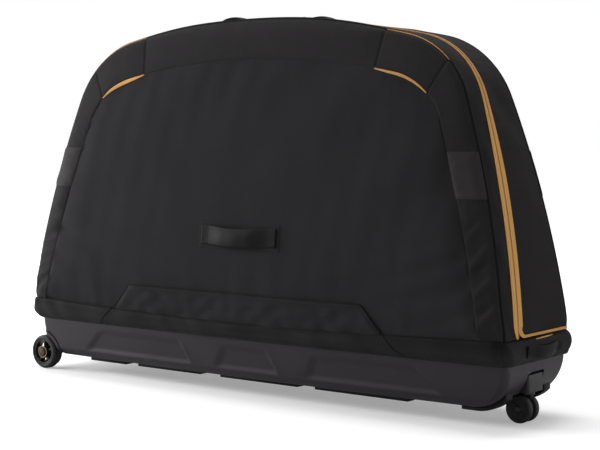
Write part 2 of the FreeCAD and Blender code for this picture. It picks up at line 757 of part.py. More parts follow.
# Fixed wheels on brackets riveted to the wheel wells
rivets = []
for name, side in (("front", -1), ("back", 1)):
    def at_wheel(depth):
        return Vector(wheel_place, side * depth, wheel_radius)

    tyre = tube(wheel_radius, wheel_radius - tyre_thickness, at_wheel(wheel_inner), at_wheel(wheel_outer))
    outer_edges = []
    for edge in tyre.Edges:
        if isinstance(edge.Curve, Part.Circle) and edge.Curve.Radius > wheel_radius - tyre_thickness / 2:
            outer_edges.append(edge)
    parts[name + "_wheel_tyre"] = tyre.makeFillet(tyre_round, outer_edges)
    rim_outer = wheel_radius - tyre_thickness - seat_gap
    rim_start = at_wheel(wheel_inner + rim_set_in)
    rim_end = at_wheel(wheel_outer - rim_set_in)
    rim = tube(rim_outer, rim_outer - rim_thickness, rim_start, rim_end)
    rim = rim.fuse(rod(hub_radius, at_wheel(wheel_inner), at_wheel(wheel_outer)))
    middle = side * (wheel_inner + wheel_outer) / 2
    for k in range(spoke_count):
        low = Vector(wheel_place, middle - spoke_depth / 2, wheel_radius - spoke_width / 2)
        spoke = Part.makeBox(rim_outer - rim_thickness / 2, spoke_depth, spoke_width, low)
        spoke.rotate(Vector(wheel_place, 0, wheel_radius), Vector(0, 1, 0), k * 360 / spoke_count)
        rim = rim.fuse(spoke)
    bore = rod(axle_radius + running_gap, at_wheel(wheel_inner - cut_reach), at_wheel(wheel_outer + cut_reach))
    parts[name + "_wheel_rim"] = rim.cut(bore).removeSplitter()
    ring_start = at_wheel(wheel_outer + seat_gap)
    ring_end = at_wheel(wheel_outer + seat_gap + trim_ring_thickness)
    parts[name + "_wheel_ring"] = tube(trim_ring_outer, trim_ring_inner, ring_start, ring_end)

    plate_outer = well_wall + seat_gap + bracket_thickness
    plate = rod(bracket_radius, at_wheel(well_wall + seat_gap), at_wheel(plate_outer))
    trim_x = wheel_place - bracket_trim
    plate = plate.cut(box(Vector(trim_x - far_reach, -far_reach, -far_reach), Vector(trim_x, far_reach, far_reach)))
    axle = rod(axle_radius, at_wheel(well_wall + seat_gap), at_wheel(wheel_outer + soft_gap))
    head_start = at_wheel(wheel_outer + soft_gap)
    axle = axle.fuse(rod(axle_head_radius, head_start, at_wheel(wheel_outer + soft_gap + axle_head_thickness)))
    parts[name + "_wheel_axle"] = axle.removeSplitter()
    plate = plate.cut(rod(axle_radius + running_gap, at_wheel(0), at_wheel(wheel_outer)))
    for k in range(rivet_count):
        angle = math.radians(rivet_spread * (k - (rivet_count - 1) / 2))
        x = wheel_place + rivet_circle * math.cos(angle)
        z = wheel_radius + rivet_circle * math.sin(angle)
        start = Vector(x, side * (well_wall - tub_wall), z)
        end = Vector(x, side * plate_outer, z)
        rivets.append(rod(rivet_radius, start, end))
        hole = rod(rivet_radius + seat_gap, Vector(x, side * (well_wall - 2 * tub_wall), z), end)
        plate = plate.cut(hole)
        tub = tub.cut(hole)
    parts[name + "_wheel_bracket"] = plate
    frame_points[name + "_wheel"] = at_wheel((wheel_inner + wheel_outer) / 2)
parts["bracket_rivets"] = solids_of(rivets)


# Swivel caster on the centre line of the bow
housing_low_corner = Vector(kingpin_place - housing_back, -housing_half_width, housing_low)
housing = box(housing_low_corner, Vector(tub_half_length - recess_gap, housing_half_width, housing_high))
upright_edges = []
for edge in housing.Edges:
    start, end = edge.Vertexes[0].Point, edge.Vertexes[1].Point
    if abs(start.z - end.z) > housing_height / 2 and start.x > kingpin_place:
        upright_edges.append(edge)
housing = housing.makeFillet(housing_round, upright_edges)
pin_top = housing_low + kingpin_height
housing = housing.cut(rod(kingpin_radius + running_gap, Vector(kingpin_place, 0, 0), Vector(kingpin_place, 0, pin_top + seat_gap)))
parts["caster_housing"] = housing
crown_low = yoke_top - yoke_crown_height
yoke = rod(yoke_crown_radius, Vector(kingpin_place, 0, crown_low), Vector(kingpin_place, 0, yoke_top))
web_points = [
    (kingpin_place + yoke_crown_radius, yoke_top), (kingpin_place - yoke_crown_radius, yoke_top),
    (caster_place - yoke_boss_radius, caster_radius), (caster_place, caster_radius - yoke_boss_radius),
    (caster_place + yoke_boss_radius, caster_radius),
]
web_corners = [Vector(x, -yoke_width / 2, z) for x, z in web_points]
web = Part.Face(Part.makePolygon(web_corners + web_corners[:1])).extrude(Vector(0, yoke_width, 0))
boss = rod(yoke_boss_radius, Vector(caster_place, -yoke_width / 2, caster_radius), Vector(caster_place, yoke_width / 2, caster_radius))
yoke = merge([yoke, web, boss])
caster_axis = (Vector(caster_place, -far_reach, caster_radius), Vector(caster_place, far_reach, caster_radius))
yoke = yoke.cut(rod(caster_axle_radius + seat_gap, *caster_axis))
kingpin_low = crown_low
pin_hole = rod(kingpin_radius + seat_gap, Vector(kingpin_place, 0, kingpin_low), Vector(kingpin_place, 0, pin_top))
parts["caster_yoke"] = yoke.cut(pin_hole)
parts["caster_kingpin"] = rod(kingpin_radius, Vector(kingpin_place, 0, kingpin_low), Vector(kingpin_place, 0, pin_top))
head_start = caster_outer + soft_gap
head_end = head_start + caster_head_thickness
axle_pieces = [rod(caster_axle_radius, Vector(caster_place, -head_end, caster_radius), Vector(caster_place, head_end, caster_radius))]
for side in (1, -1):
    start = Vector(caster_place, side * head_start, caster_radius)
    axle_pieces.append(rod(caster_head_radius, start, Vector(caster_place, side * head_end, caster_radius)))
parts["caster_axle"] = merge(axle_pieces)
for name, side in (("front", -1), ("back", 1)):
    start = Vector(caster_place, side * caster_inner, caster_radius)
    end = Vector(caster_place, side * caster_outer, caster_radius)
    roller = rod(caster_radius, start, end)
    round_edges = [edge for edge in roller.Edges if isinstance(edge.Curve, Part.Circle)]
    roller = roller.makeFillet(caster_round, round_edges)
    dish_start = Vector(caster_place, side * (caster_outer - caster_dish_depth), caster_radius)
    dish_end = Vector(caster_place, side * (caster_outer + cut_reach), caster_radius)
    dish = rod(caster_dish_radius, dish_start, dish_end)
    dish = dish.cut(rod(caster_head_radius + caster_side_gap, dish_start, dish_end))
    roller = roller.cut(dish).cut(rod(caster_axle_radius + running_gap, *caster_axis))
    parts[name + "_caster_wheel"] = roller
    frame_points[name + "_caster_wheel"] = (start + end) / 2
frame_points["caster"] = Vector(kingpin_place, 0, housing_low)


# Floor rail with its bolts
rail_low = tub_floor + seat_gap
flange = box(Vector(-rail_half_length, -rail_flange_half, rail_low), Vector(rail_half_length, rail_flange_half, rail_low + rail_flange_height))
web = box(Vector(-rail_half_length, -rail_web_half, rail_low), Vector(rail_half_length, rail_web_half, rail_top))
rail = merge([flange, web])
bolts = []
head_low = rail_low + rail_flange_height + seat_gap
for share in bolt_shares:
    for side in (1, -1):
        x = share * rail_half_length
        y = side * bolt_offset
        shank = rod(bolt_radius, Vector(x, y, tub_clearance), Vector(x, y, head_low))
        head = rod(bolt_head_radius, Vector(x, y, head_low), Vector(x, y, head_low + bolt_head_height))
        bolts.append(merge([shank, head]))
        hole = rod(bolt_radius + seat_gap, Vector(x, y, 0), Vector(x, y, head_low))
        rail = rail.cut(hole)
        tub = tub.cut(hole)
parts["floor_rail"] = rail
parts["rail_bolts"] = solids_of(bolts)
parts["base_tub"] = tub

# Saddles that slide on the rail
saddle_low = rail_low + rail_flange_height + bolt_head_height + 2 * seat_gap + soft_gap
saddle_high = rail_top + soft_gap + saddle_roof


def saddle(place, length):
    block = box(Vector(place - length / 2, -saddle_half_width, saddle_low), Vector(place + length / 2, saddle_half_width, saddle_high))
    channel_half = rail_web_half + soft_gap
    channel_top = rail_top + soft_gap
    return block.cut(box(Vector(-far_reach, -channel_half, 0), Vector(far_reach, channel_half, channel_top)))


post = box(
    Vector(fork_place - fork_post_length / 2, -fork_post_half, saddle_high),
    Vector(fork_place + fork_post_length / 2, fork_post_half, fork_axle_height),
)
barrel_start = Vector(fork_place, -fork_barrel_length / 2, fork_axle_height)
barrel_end = Vector(fork_place, fork_barrel_length / 2, fork_axle_height)
parts["fork_barrel"] = tube(fork_barrel_radius, fork_bore_radius, barrel_start, barrel_end)
barrel_seat = rod(fork_barrel_radius + seat_gap, barrel_start, barrel_end)
fork = merge([saddle(fork_place, fork_saddle_length), post]).cut(barrel_seat)
lever_z = (rail_top + saddle_high) / 2
lever_face = saddle_half_width + soft_gap
pin_start = Vector(fork_place, saddle_half_width - lever_pin_length, lever_z)
pin_end = Vector(fork_place, lever_face + lever_thickness, lever_z)
parts["fork_mount"] = fork.cut(rod(lever_pin_radius + running_gap, pin_start - Vector(0, soft_gap, 0), pin_end))
arm_low = Vector(fork_place - lever_height / 2, lever_face, lever_z - lever_height / 2)
arm = box(arm_low, Vector(fork_place + lever_length, lever_face + lever_thickness, lever_z + lever_height / 2))
parts["clamp_lever"] = merge([arm, rod(lever_pin_radius, pin_start, pin_end)])
frame_points["clamp_lever"] = Vector(fork_place, lever_face, lever_z)
frame_points["fork_mount"] = Vector(fork_place, 0, rail_top)
frame_points["fork_bore"] = Vector(fork_place, fork_barrel_length / 2, fork_axle_height)

cradle_top = saddle_high + cradle_height
cradle_block = box(
    Vector(cradle_place - cradle_saddle_length / 2, -cradle_half_width, saddle_high),
    Vector(cradle_place + cradle_saddle_length / 2, cradle_half_width, cradle_top),
)
groove_start = Vector(cradle_place, -far_reach, cradle_top)
cradle_block = cradle_block.cut(rod(cradle_groove, groove_start, Vector(cradle_place, far_reach, cradle_top)))
parts["frame_cradle"] = merge([saddle(cradle_place, cradle_saddle_length), cradle_block])
frame_points["frame_cradle"] = Vector(cradle_place, 0, rail_top)


# Zipper sliders ride on the front teeth at the crown; each carries a hinged pull
zip_crown = zip_line(crown_height)
slider_depth = zip_crown + slider_overlap - slider_width / 2
for name, place, way in (("left", slider_places[0], -1), ("right", slider_places[1], 1)):
    top = body.crown_at(place)
    deck_low = top + teeth_stand + slider_lift
    deck_high = deck_low + slider_height
    half = slider_length / 2
    deck = box(Vector(place - half, slider_depth - slider_width / 2, deck_low), Vector(place + half, slider_depth + slider_width / 2, deck_high))
    keel_far = zip_crown - tape_start - soft_gap
    keel = box(Vector(place - half, keel_far - slider_keel, top + tape_stand + soft_gap), Vector(place + half, keel_far, deck_high))
    bail_z = deck_high + bail_rise
    body_pieces = [deck, keel]
    for side in (1, -1):
        ends = sorted((side * pull_tab_width / 2 + side * soft_gap, side * (pull_tab_width / 2 + soft_gap + bail_post)))
        low = Vector(place - bail_post, slider_depth + ends[0], deck_low)
        body_pieces.append(box(low, Vector(place + bail_post, slider_depth + ends[1], bail_z + bail_radius)))
    bail_half = pull_tab_width / 2 + soft_gap + bail_post / 2
    bail = rod(bail_radius, Vector(place, slider_depth - bail_half, bail_z), Vector(place, slider_depth + bail_half, bail_z))
    parts[name + "_slider"] = merge(body_pieces + [bail])
    tab_ends = sorted((place, place + way * pull_tab_length))
    tab_low = Vector(tab_ends[0], slider_depth - pull_tab_width / 2, bail_z - pull_tab_thickness / 2)
    tab = box(tab_low, Vector(tab_ends[1], slider_depth + pull_tab_width / 2, bail_z + pull_tab_thickness / 2))
    eye_start = Vector(place, slider_depth - pull_tab_width / 2, bail_z)
    eye_end = Vector(place, slider_depth + pull_tab_width / 2, bail_z)
    eye = merge([tab, rod(pull_eye_radius, eye_start, eye_end)])
    parts[name + "_pull"] = eye.cut(rod(bail_radius + running_gap, eye_start, eye_end))
    frame_points[name + "_slider"] = Vector(place, slider_depth, deck_low)
    frame_points[name + "_pull"] = Vector(place, slider_depth, bail_z)


# The origin is the floor point under the middle of the whole case
os.makedirs("parts", exist_ok=True)
whole = Part.makeCompound(list(parts.values())).optimalBoundingBox()
shift = Vector(-whole.Center.x, -whole.Center.y, -whole.ZMin)
for node, shape in parts.items():
    placed = shape.copy()
    placed.translate(shift)
    placed.exportStep("parts/" + node + ".step")
    if not placed.isValid():
        print("not valid:", node)
print("nodes", len(parts))
print("size", whole.XLength, whole.YLength, whole.ZLength)
print("shift", shift)
for name, point in frame_points.items():
    print(name, point + shift)
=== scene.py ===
import json
import math

import bpy
import numpy as np
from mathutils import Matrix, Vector
from mathutils.bvhtree import BVHTree


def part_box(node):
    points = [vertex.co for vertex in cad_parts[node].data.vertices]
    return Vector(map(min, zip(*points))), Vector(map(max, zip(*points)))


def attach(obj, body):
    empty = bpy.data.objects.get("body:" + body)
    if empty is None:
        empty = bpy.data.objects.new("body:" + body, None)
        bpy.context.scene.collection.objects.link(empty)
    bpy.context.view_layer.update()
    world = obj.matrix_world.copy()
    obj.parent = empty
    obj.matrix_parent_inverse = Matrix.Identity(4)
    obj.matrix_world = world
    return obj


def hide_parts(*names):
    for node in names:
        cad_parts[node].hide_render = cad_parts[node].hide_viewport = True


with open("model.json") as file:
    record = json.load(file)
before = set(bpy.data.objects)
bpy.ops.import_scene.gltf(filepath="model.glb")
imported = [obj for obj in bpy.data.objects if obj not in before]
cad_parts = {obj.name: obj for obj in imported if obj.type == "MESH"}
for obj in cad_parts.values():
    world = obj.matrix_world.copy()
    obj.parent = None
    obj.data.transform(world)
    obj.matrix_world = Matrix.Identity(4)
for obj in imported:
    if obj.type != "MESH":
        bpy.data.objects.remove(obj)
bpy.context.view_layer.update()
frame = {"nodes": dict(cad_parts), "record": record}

# Lengths are in metres. The case is laid out about the middle of its tub, x to the caster and y to the back.
tub_low, tub_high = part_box("base_tub")
home = np.array([(tub_low.x + tub_high.x) / 2, (tub_low.y + tub_high.y) / 2, 0.0])
halves = ("front", "back")
outward = {"front": -1, "back": 1}
owner = {"front": "base", "back": "door"}
both_sides = (-1, 1)
to_front = np.array([0.0, -1.0, 0.0])
to_back = np.array([0.0, 1.0, 0.0])
to_caster = np.array([1.0, 0.0, 0.0])

# Sizes that follow the solids
foot = 0.190
crown = 0.864
half_length = 0.688
panel_half = 0.634
panel_top = 0.778
bevel = 0.012
border_wrap = 0.005
piping_round = 0.003
tape_start = 0.0008
tape_end = 0.0180
tape_stand = 0.0014
hem = 0.136


# Shop tools


def fresh():
    """Object mode with nothing selected."""
    if bpy.context.object and bpy.context.object.mode != "OBJECT":
        bpy.ops.object.mode_set(mode="OBJECT")
    bpy.ops.object.select_all(action="DESELECT")


def pick(piece):
    fresh()
    piece.select_set(True)
    bpy.context.view_layer.objects.active = piece


def edit(piece, *steps):
    """Runs mesh operators, each with its settings, on the whole of a piece."""
    pick(piece)
    bpy.ops.object.mode_set(mode="EDIT")
    bpy.ops.mesh.select_all(action="SELECT")
    for operator, settings in steps:
        operator(**settings)
    bpy.ops.object.mode_set(mode="OBJECT")


def read(piece, what):
    flat = np.empty(len(piece.data.vertices) * 3)
    piece.data.vertices.foreach_get(what, flat)
    return flat.reshape(-1, 3)


def points_of(piece):
    return read(piece, "co")


def normals_of(piece):
    return read(piece, "normal")


def put_points(piece, points):
    piece.data.vertices.foreach_set("co", np.ascontiguousarray(points, dtype=np.float64).ravel())
    piece.data.update()


def swell(piece, push):
    """Moves each point along its normal."""
    put_points(piece, points_of(piece) + normals_of(piece) * push[:, None])


def cut_of(piece, cut):
    """Each point's place on the flat cloth, as shares of its width and length."""
    mesh = piece.data
    spots = np.empty(len(mesh.loops) * 2)
    mesh.uv_layers.active.data.foreach_get("uv", spots)
    corners = np.empty(len(mesh.loops), dtype=np.int32)
    mesh.loops.foreach_get("vertex_index", corners)
    shares = np.zeros((len(mesh.vertices), 2))
    shares[corners] = spots.reshape(-1, 2) / cut
    return shares[:, 0], shares[:, 1]


def laid(name, across, along, at, cut, out=None):
    """A grid of cloth laid out point by point, with its UV map in metres and its face turned out."""
    fresh()
    bpy.ops.mesh.primitive_grid_add(x_subdivisions=across, y_subdivisions=along, size=1)
    piece = bpy.context.object
    piece.name = name
    piece.data.name = name
    flat = points_of(piece) + 0.5
    put_points(piece, at(flat[:, 0], flat[:, 1]) + home)
    spots = piece.data.uv_layers.active.data
    values = np.empty(len(spots) * 2)
    spots.foreach_get("uv", values)
    spots.foreach_set("uv", (values.reshape(-1, 2) * cut).ravel())
    if out is not None and (normals_of(piece) * out).sum() < 0:
        edit(piece, (bpy.ops.mesh.flip_normals, {}))
    return piece


def apply_modifiers(piece):
    pick(piece)
    for modifier in list(piece.modifiers):
        bpy.ops.object.modifier_apply(modifier=modifier.name)


def subdivide(piece):
    made = piece.modifiers.new("finer", "SUBSURF")
    made.levels = 1
    made.render_levels = 1
    made.boundary_smooth = "ALL"
    apply_modifiers(piece)


def thicken(piece, thickness, offset=-1):
    """Gives a sheet its thickness; the far side takes the second material."""
    while len(piece.data.materials) < 2:
        piece.data.materials.append(None)
    made = piece.modifiers.new("thickness", "SOLIDIFY")
    made.thickness = thickness
    made.offset = offset
    made.material_offset = 1
    made.material_offset_rim = 0
    apply_modifiers(piece)


def soft_edges(piece, width, segments=2, angle=30):
    made = piece.modifiers.new("soft_edges", "BEVEL")
    made.width = width
    made.segments = segments
    made.limit_method = "ANGLE"
    made.angle_limit = math.radians(angle)
    apply_modifiers(piece)


def smooth(piece, angle=None):
    pick(piece)
    if angle is None:
        bpy.ops.object.shade_smooth()
    else:
        bpy.ops.object.shade_smooth_by_angle(angle=math.radians(angle))


def sew_shut(piece, distance=0.0002):
    """Merges the edges of a sheet that was rolled round and fills its open ends."""
    edit(
        piece,
        (bpy.ops.mesh.remove_doubles, {"threshold": distance}),
        (bpy.ops.mesh.fill_holes, {"sides": 0}),
        (bpy.ops.mesh.normals_make_consistent, {"inside": False}),
    )


def rim_of(u, v):
    """Which points lie on the four edges of a sheet."""
    near = 1e-4
    return (u < near) | (u > 1 - near) | (v < near) | (v > 1 - near)


def puff(piece, held, pressure, cap):
    """Blows the cloth out between the points that are held, no further than a cap."""
    frames = 20
    rest = points_of(piece)
    group = piece.vertex_groups.new(name="held")
    group.add([int(i) for i in np.flatnonzero(held)], 1.0, "REPLACE")
    pick(piece)
    cloth = piece.modifiers.new("cloth", "CLOTH")
    cloth.settings.vertex_group_mass = "held"
    cloth.settings.use_pressure = True
    cloth.settings.uniform_pressure_force = pressure
    cloth.settings.effector_weights.gravity = 0
    cloth.settings.quality = 4
    cloth.point_cache.frame_start = 1
    cloth.point_cache.frame_end = frames
    for step in range(1, frames + 1):
        bpy.context.scene.frame_set(step)
    bpy.ops.object.modifier_apply(modifier="cloth")
    bpy.context.scene.frame_set(1)
    moved = points_of(piece) - rest
    reach = np.linalg.norm(moved, axis=1) + 1e-9
    put_points(piece, rest + moved * (cap * np.tanh(reach / cap) / reach)[:, None])
    piece.vertex_groups.clear()


def ripple(s, length, seed):
    """A smooth uneven wave of about one unit, with crests about a length apart."""
    draw = np.random.default_rng(seed)
    total = np.zeros_like(s)
    for _ in range(5):
        size = length * draw.uniform(0.6, 1.8)
        total += np.sin(math.tau * s / size + draw.uniform(0, math.tau))
    return total / 2.2


def crumple(a, b, length, seed):
    """Uneven shallow folds over a surface, about a length apart."""
    draw = np.random.default_rng(seed)
    total = np.zeros_like(a)
    for _ in range(7):
        turn = draw.uniform(0, np.pi)
        size = length * draw.uniform(0.6, 1.8)
        across = a * math.cos(turn) + b * math.sin(turn)
        total += np.sin(math.tau * across / size + draw.uniform(0, math.tau))
    return total / 2.6


def seam_folds(gap, run, height, length, seed, start, reach):
    """Folds that run off a seam: they start a little way from it and die away."""
    return height * np.exp(-gap / reach) * ripple(run, length, seed) * (1 - np.exp(-gap / start))


def ease(x, low, high):
    """0 below low, 1 above high and smooth between."""
    share = np.clip((x - low) / (high - low), 0, 1)
    return share * share * (3 - 2 * share)


def hump(x, middle, width):
    return np.exp(-((x - middle) / width) ** 2)


def close_edges(share):
    """Crowds the rows of a grid towards both edges."""
    return share - 0.6 * np.sin(math.tau * share) / math.tau


def stack(x, y, z):
    return np.stack(np.broadcast_arrays(x, y, z), axis=-1).astype(float)


def length_of(path):
    return float(np.linalg.norm(np.diff(path, axis=0), axis=1).sum())


def copies(name, sample, spots, along, out):
    """One mesh of many copies of a small sample, each set along a line on a surface."""
    along = along / np.linalg.norm(along, axis=1)[:, None]
    side = np.cross(out, along)
    side /= np.linalg.norm(side, axis=1)[:, None]
    up = np.cross(along, side)
    shape = points_of(sample)
    axes = enumerate((along, side, up))
    offsets = sum(shape[None, :, k, None] * axis[:, None, :] for k, axis in axes)
    points = (spots + home)[:, None, :] + offsets
    count = len(shape)
    corners = [tuple(face.vertices) for face in sample.data.polygons]
    faces = [[corner + turn * count for corner in face] for turn in range(len(spots)) for face in corners]
    mesh = bpy.data.meshes.new(name)
    mesh.from_pydata(points.reshape(-1, 3).tolist(), [], faces)
    mesh.update()
    made = bpy.data.objects.new(name, mesh)
    bpy.context.scene.collection.objects.link(made)
    smooth(made)
    return made


def scrap(piece):
    mesh = piece.data
    bpy.data.objects.remove(piece)
    bpy.data.meshes.remove(mesh)


def join(name, pieces):
    fresh()
    for piece in pieces:
        piece.select_set(True)
    bpy.context.view_layer.objects.active = pieces[0]
    if len(pieces) > 1:
        bpy.ops.object.join()
    pieces[0].name = name
    pieces[0].data.name = name
    return pieces[0]


def even(path, pitch):
    """Points and directions at even steps along a line of points."""
    steps = np.linalg.norm(np.diff(path, axis=0), axis=1)
    reach = np.concatenate(([0], np.cumsum(steps)))
    spots = np.arange(pitch / 2, reach[-1], pitch)
    aside = 0.001

    def place(distance):
        return np.stack([np.interp(distance, reach, path[:, k]) for k in range(3)], axis=-1)

    return place(spots), place(np.minimum(spots + aside, reach[-1])) - place(np.maximum(spots - aside, 0))


def tube(name, path, radius, out, around=10):
    """A round cord along a line of points."""
    ahead = np.gradient(path, axis=0)
    ahead /= np.linalg.norm(ahead, axis=1)[:, None]
    side = np.cross(ahead, np.broadcast_to(out, path.shape))
    side /= np.linalg.norm(side, axis=1)[:, None] + 1e-12
    up = np.cross(side, ahead)
    radius = np.broadcast_to(radius, len(path))

    def at(u, v):
        spot = np.rint(v * (len(path) - 1)).astype(int)
        angle = math.tau * u
        turned = np.cos(angle)[:, None] * side[spot] + np.sin(angle)[:, None] * up[spot]
        return path[spot] + radius[spot][:, None] * turned

    cut = np.array([math.tau * float(radius.mean()), length_of(path)])
    piece = laid(name, around, len(path) - 1, at, cut)
    sew_shut(piece)
    smooth(piece, 60)
    return piece


def twin(piece, name):
    """A copy with a mesh of its own."""
    made = bpy.data.objects.new(name, piece.data.copy())
    made.data.name = name
    bpy.context.scene.collection.objects.link(made)
    return made


def rounded(corners, radius):
    """A closed outline with round corners."""
    made = []
    corners = np.array(corners, dtype=float)
    for here, before, after in zip(corners, np.roll(corners, 1, axis=0), np.roll(corners, -1, axis=0)):
        back, ahead = before - here, after - here
        back_length, ahead_length = np.linalg.norm(back), np.linalg.norm(ahead)
        reach = min(radius, 0.45 * back_length, 0.45 * ahead_length)
        start, end = here + back * reach / back_length, here + ahead * reach / ahead_length
        for share in np.linspace(0, 1, 4):
            made.append((1 - share) ** 2 * start + 2 * share * (1 - share) * here + share ** 2 * end)
    return np.array(made)


def lathe(name, centre, corners, radius):
    """A round piece about an axle along y, from a closed outline of radii and depths."""
    profile = rounded(corners, radius)
    rows = len(profile)
    columns, nominal_length = 64, 0.05

    def at(u, v):
        spot = np.rint(v * rows).astype(int) % rows
        angle = math.tau * u
        reach = profile[spot, 0]
        return centre + stack(reach * np.cos(angle), profile[spot, 1], reach * np.sin(angle))

    piece = laid(name, columns, rows, at, np.array([math.tau * profile[:, 0].max(), nominal_length]))
    sew_shut(piece, 0.00002)
    smooth(piece, 40)
    return piece


def carve(piece, tool):
    """Takes a tool's shape out of a piece."""
    made = piece.modifiers.new("carve", "BOOLEAN")
    made.operation = "DIFFERENCE"
    made.solver = "EXACT"
    made.object = tool
    apply_modifiers(piece)
    scrap(tool)


def dress(piece, body, slot, finish, *nodes):
    """Gives a finished piece its materials and its body, and hides the nodes that it stands for; its record
    slot is not used.
    """
    finishes = finish if isinstance(finish, tuple) else (finish,)
    layers = piece.data.materials
    while len(layers) < len(finishes):
        layers.append(None)
    while len(layers) > len(finishes):
        layers.pop(index=len(layers) - 1)
    for spot, material in enumerate(finishes):
        layers[spot] = material
    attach(piece, body)
    if nodes:
        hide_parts(*nodes)


def pad(piece, thickness, fill, body, slot, finish, *nodes):
    thicken(piece, thickness)
    smooth(piece)
    dress(piece, body, slot, (finish, lining_cloth), *nodes)


# Finishes


def plug(tree, socket, value):
    """Joins a socket to another one, or gives it a plain value."""
    if isinstance(value, bpy.types.NodeSocket):
        tree.links.new(value, socket)
    elif value is not None:
        socket.default_value = value


def feed(tree, kind, *inputs, **settings):
    """A node with its inputs set in order, from sockets or plain values."""
    made = tree.nodes.new(kind)
    for key, value in settings.items():
        setattr(made, key, value)
    for socket, value in zip(made.inputs, inputs):
        plug(tree, socket, value)
    return made


def maths(tree, operation, *inputs):
    return feed(tree, "ShaderNodeMath", *inputs, operation=operation).outputs[0]


def times(tree, first, second):
    return maths(tree, "MULTIPLY", first, second)


def plus(tree, first, second):
    return maths(tree, "ADD", first, second)


def mixed(tree, share, first, second):
    made = tree.nodes.new("ShaderNodeMix")
    made.data_type = "RGBA"
    for spot, value in ((0, share), (6, first), (7, second)):
        plug(tree, made.inputs[spot], value)
    return made.outputs[2]


def spread(tree, value, low, high, to_low, to_high):
    return feed(tree, "ShaderNodeMapRange", value, low, high, to_low, to_high).outputs[0]


def noise(tree, place, *values):
    """Noise with its scale, detail and roughness."""
    return feed(tree, "ShaderNodeTexNoise", place, None, *values).outputs[0]


def stretched(tree, place, scale, turn=None):
    return feed(tree, "ShaderNodeMapping", place, None, turn, scale).outputs[0]


def split(tree, place):
    return feed(tree, "ShaderNodeSeparateXYZ", place).outputs


def grouping(name, inputs, outputs):
    """A node group whose first input is a place."""
    tree = bpy.data.node_groups.new(name, "ShaderNodeTree")
    tree.interface.new_socket("Place", in_out="INPUT", socket_type="NodeSocketVector")
    for title, value in inputs.items():
        socket = tree.interface.new_socket(title, in_out="INPUT", socket_type="NodeSocketFloat")
        socket.default_value = value
    for title in outputs:
        tree.interface.new_socket(title, in_out="OUTPUT", socket_type="NodeSocketFloat")
    return tree, tree.nodes.new("NodeGroupInput").outputs, tree.nodes.new("NodeGroupOutput").inputs


def weave_group():
    """Plain weave with uneven threads: bump height and a tint that varies from thread to thread."""
    tree, given, out = grouping("plain_weave", {"Pitch": 0.0016, "Slub": 0.35}, ["Height", "Tint"])
    place = given["Place"]
    ways = split(tree, place)
    rate = maths(tree, "DIVIDE", math.tau, given["Pitch"])
    warp = maths(tree, "SINE", times(tree, ways[0], rate))
    weft = maths(tree, "SINE", times(tree, ways[1], rate))
    crossing = times(tree, warp, weft)
    fine, long = 900.0, 45.0
    first = noise(tree, stretched(tree, place, (fine, long, 1.0)), 1.0, 2.0)
    second = noise(tree, stretched(tree, place, (long, fine, 1.0)), 1.0, 2.0)
    slub = times(tree, plus(tree, plus(tree, first, second), -1.0), given["Slub"])
    height = plus(tree, maths(tree, "MULTIPLY_ADD", crossing, 0.35, 0.5), slub)
    tint = plus(tree, slub, maths(tree, "MULTIPLY_ADD", crossing, 0.15, 0.5))
    tree.links.new(height, out["Height"])
    tree.links.new(tint, out["Tint"])
    return tree


def rib_group():
    """Ribbed tape or webbing: ribs along the length and fine picks across."""
    tree, given, out = grouping("ribbed_tape", {"Rib": 0.0025, "Pick": 0.0012}, ["Height", "Tint"])
    ways = split(tree, given["Place"])
    rib_rate = maths(tree, "DIVIDE", math.tau, given["Rib"])
    across = maths(tree, "SINE", times(tree, ways[1], rib_rate))
    pick_rate = maths(tree, "DIVIDE", math.tau, given["Pick"])
    along = plus(tree, times(tree, ways[0], pick_rate), times(tree, across, 1.2))
    picks = maths(tree, "SINE", along)
    height = plus(tree, maths(tree, "MULTIPLY_ADD", across, 0.35, 0.5), times(tree, picks, 0.15))
    tree.links.new(height, out["Height"])
    tree.links.new(maths(tree, "MULTIPLY_ADD", across, 0.5, 0.5), out["Tint"])
    return tree


def handling_group():
    """Broad uneven tone from handling, with a little pale dust that lies on upper faces."""
    tree, given, out = grouping("handling", {"Size": 9.0, "Dust": 0.25}, ["Tone", "Dust"])
    broad = noise(tree, given["Place"], given["Size"], 4.0, 0.6)
    fine = noise(tree, given["Place"], 160.0, 3.0, 0.6)
    up = split(tree, feed(tree, "ShaderNodeNewGeometry").outputs["Normal"])[2]
    lying = spread(tree, up, 0.2, 1.0, 0.15, 1.0)
    specks = spread(tree, fine, 0.5, 0.8, 0.0, 1.0)
    tree.links.new(spread(tree, broad, 0.3, 0.7, 0.0, 1.0), out["Tone"])
    tree.links.new(times(tree, specks, times(tree, lying, given["Dust"])), out["Dust"])
    return tree


def wear_group():
    """Rubbed edges: where the surface turns sharply outwards, broken up by scuffs."""
    tree, given, out = grouping("edge_wear", {"Reach": 0.5}, ["Worn", "Scuff"])
    sharp = feed(tree, "ShaderNodeNewGeometry").outputs["Pointiness"]
    edge = spread(tree, sharp, 0.51, 0.58, 0.0, 1.0)
    patchy = noise(tree, given["Place"], 60.0, 4.0, 0.65)
    broken = times(tree, edge, spread(tree, patchy, 0.35, 0.65, 0.0, 1.0))
    streaks = stretched(tree, given["Place"], (12.0, 90.0, 240.0), (0.0, 0.35, 0.2))
    scuff = noise(tree, streaks, 1.0, 3.0, 0.7)
    tree.links.new(times(tree, broken, given["Reach"]), out["Worn"])
    tree.links.new(spread(tree, scuff, 0.62, 0.78, 0.0, 1.0), out["Scuff"])
    return tree


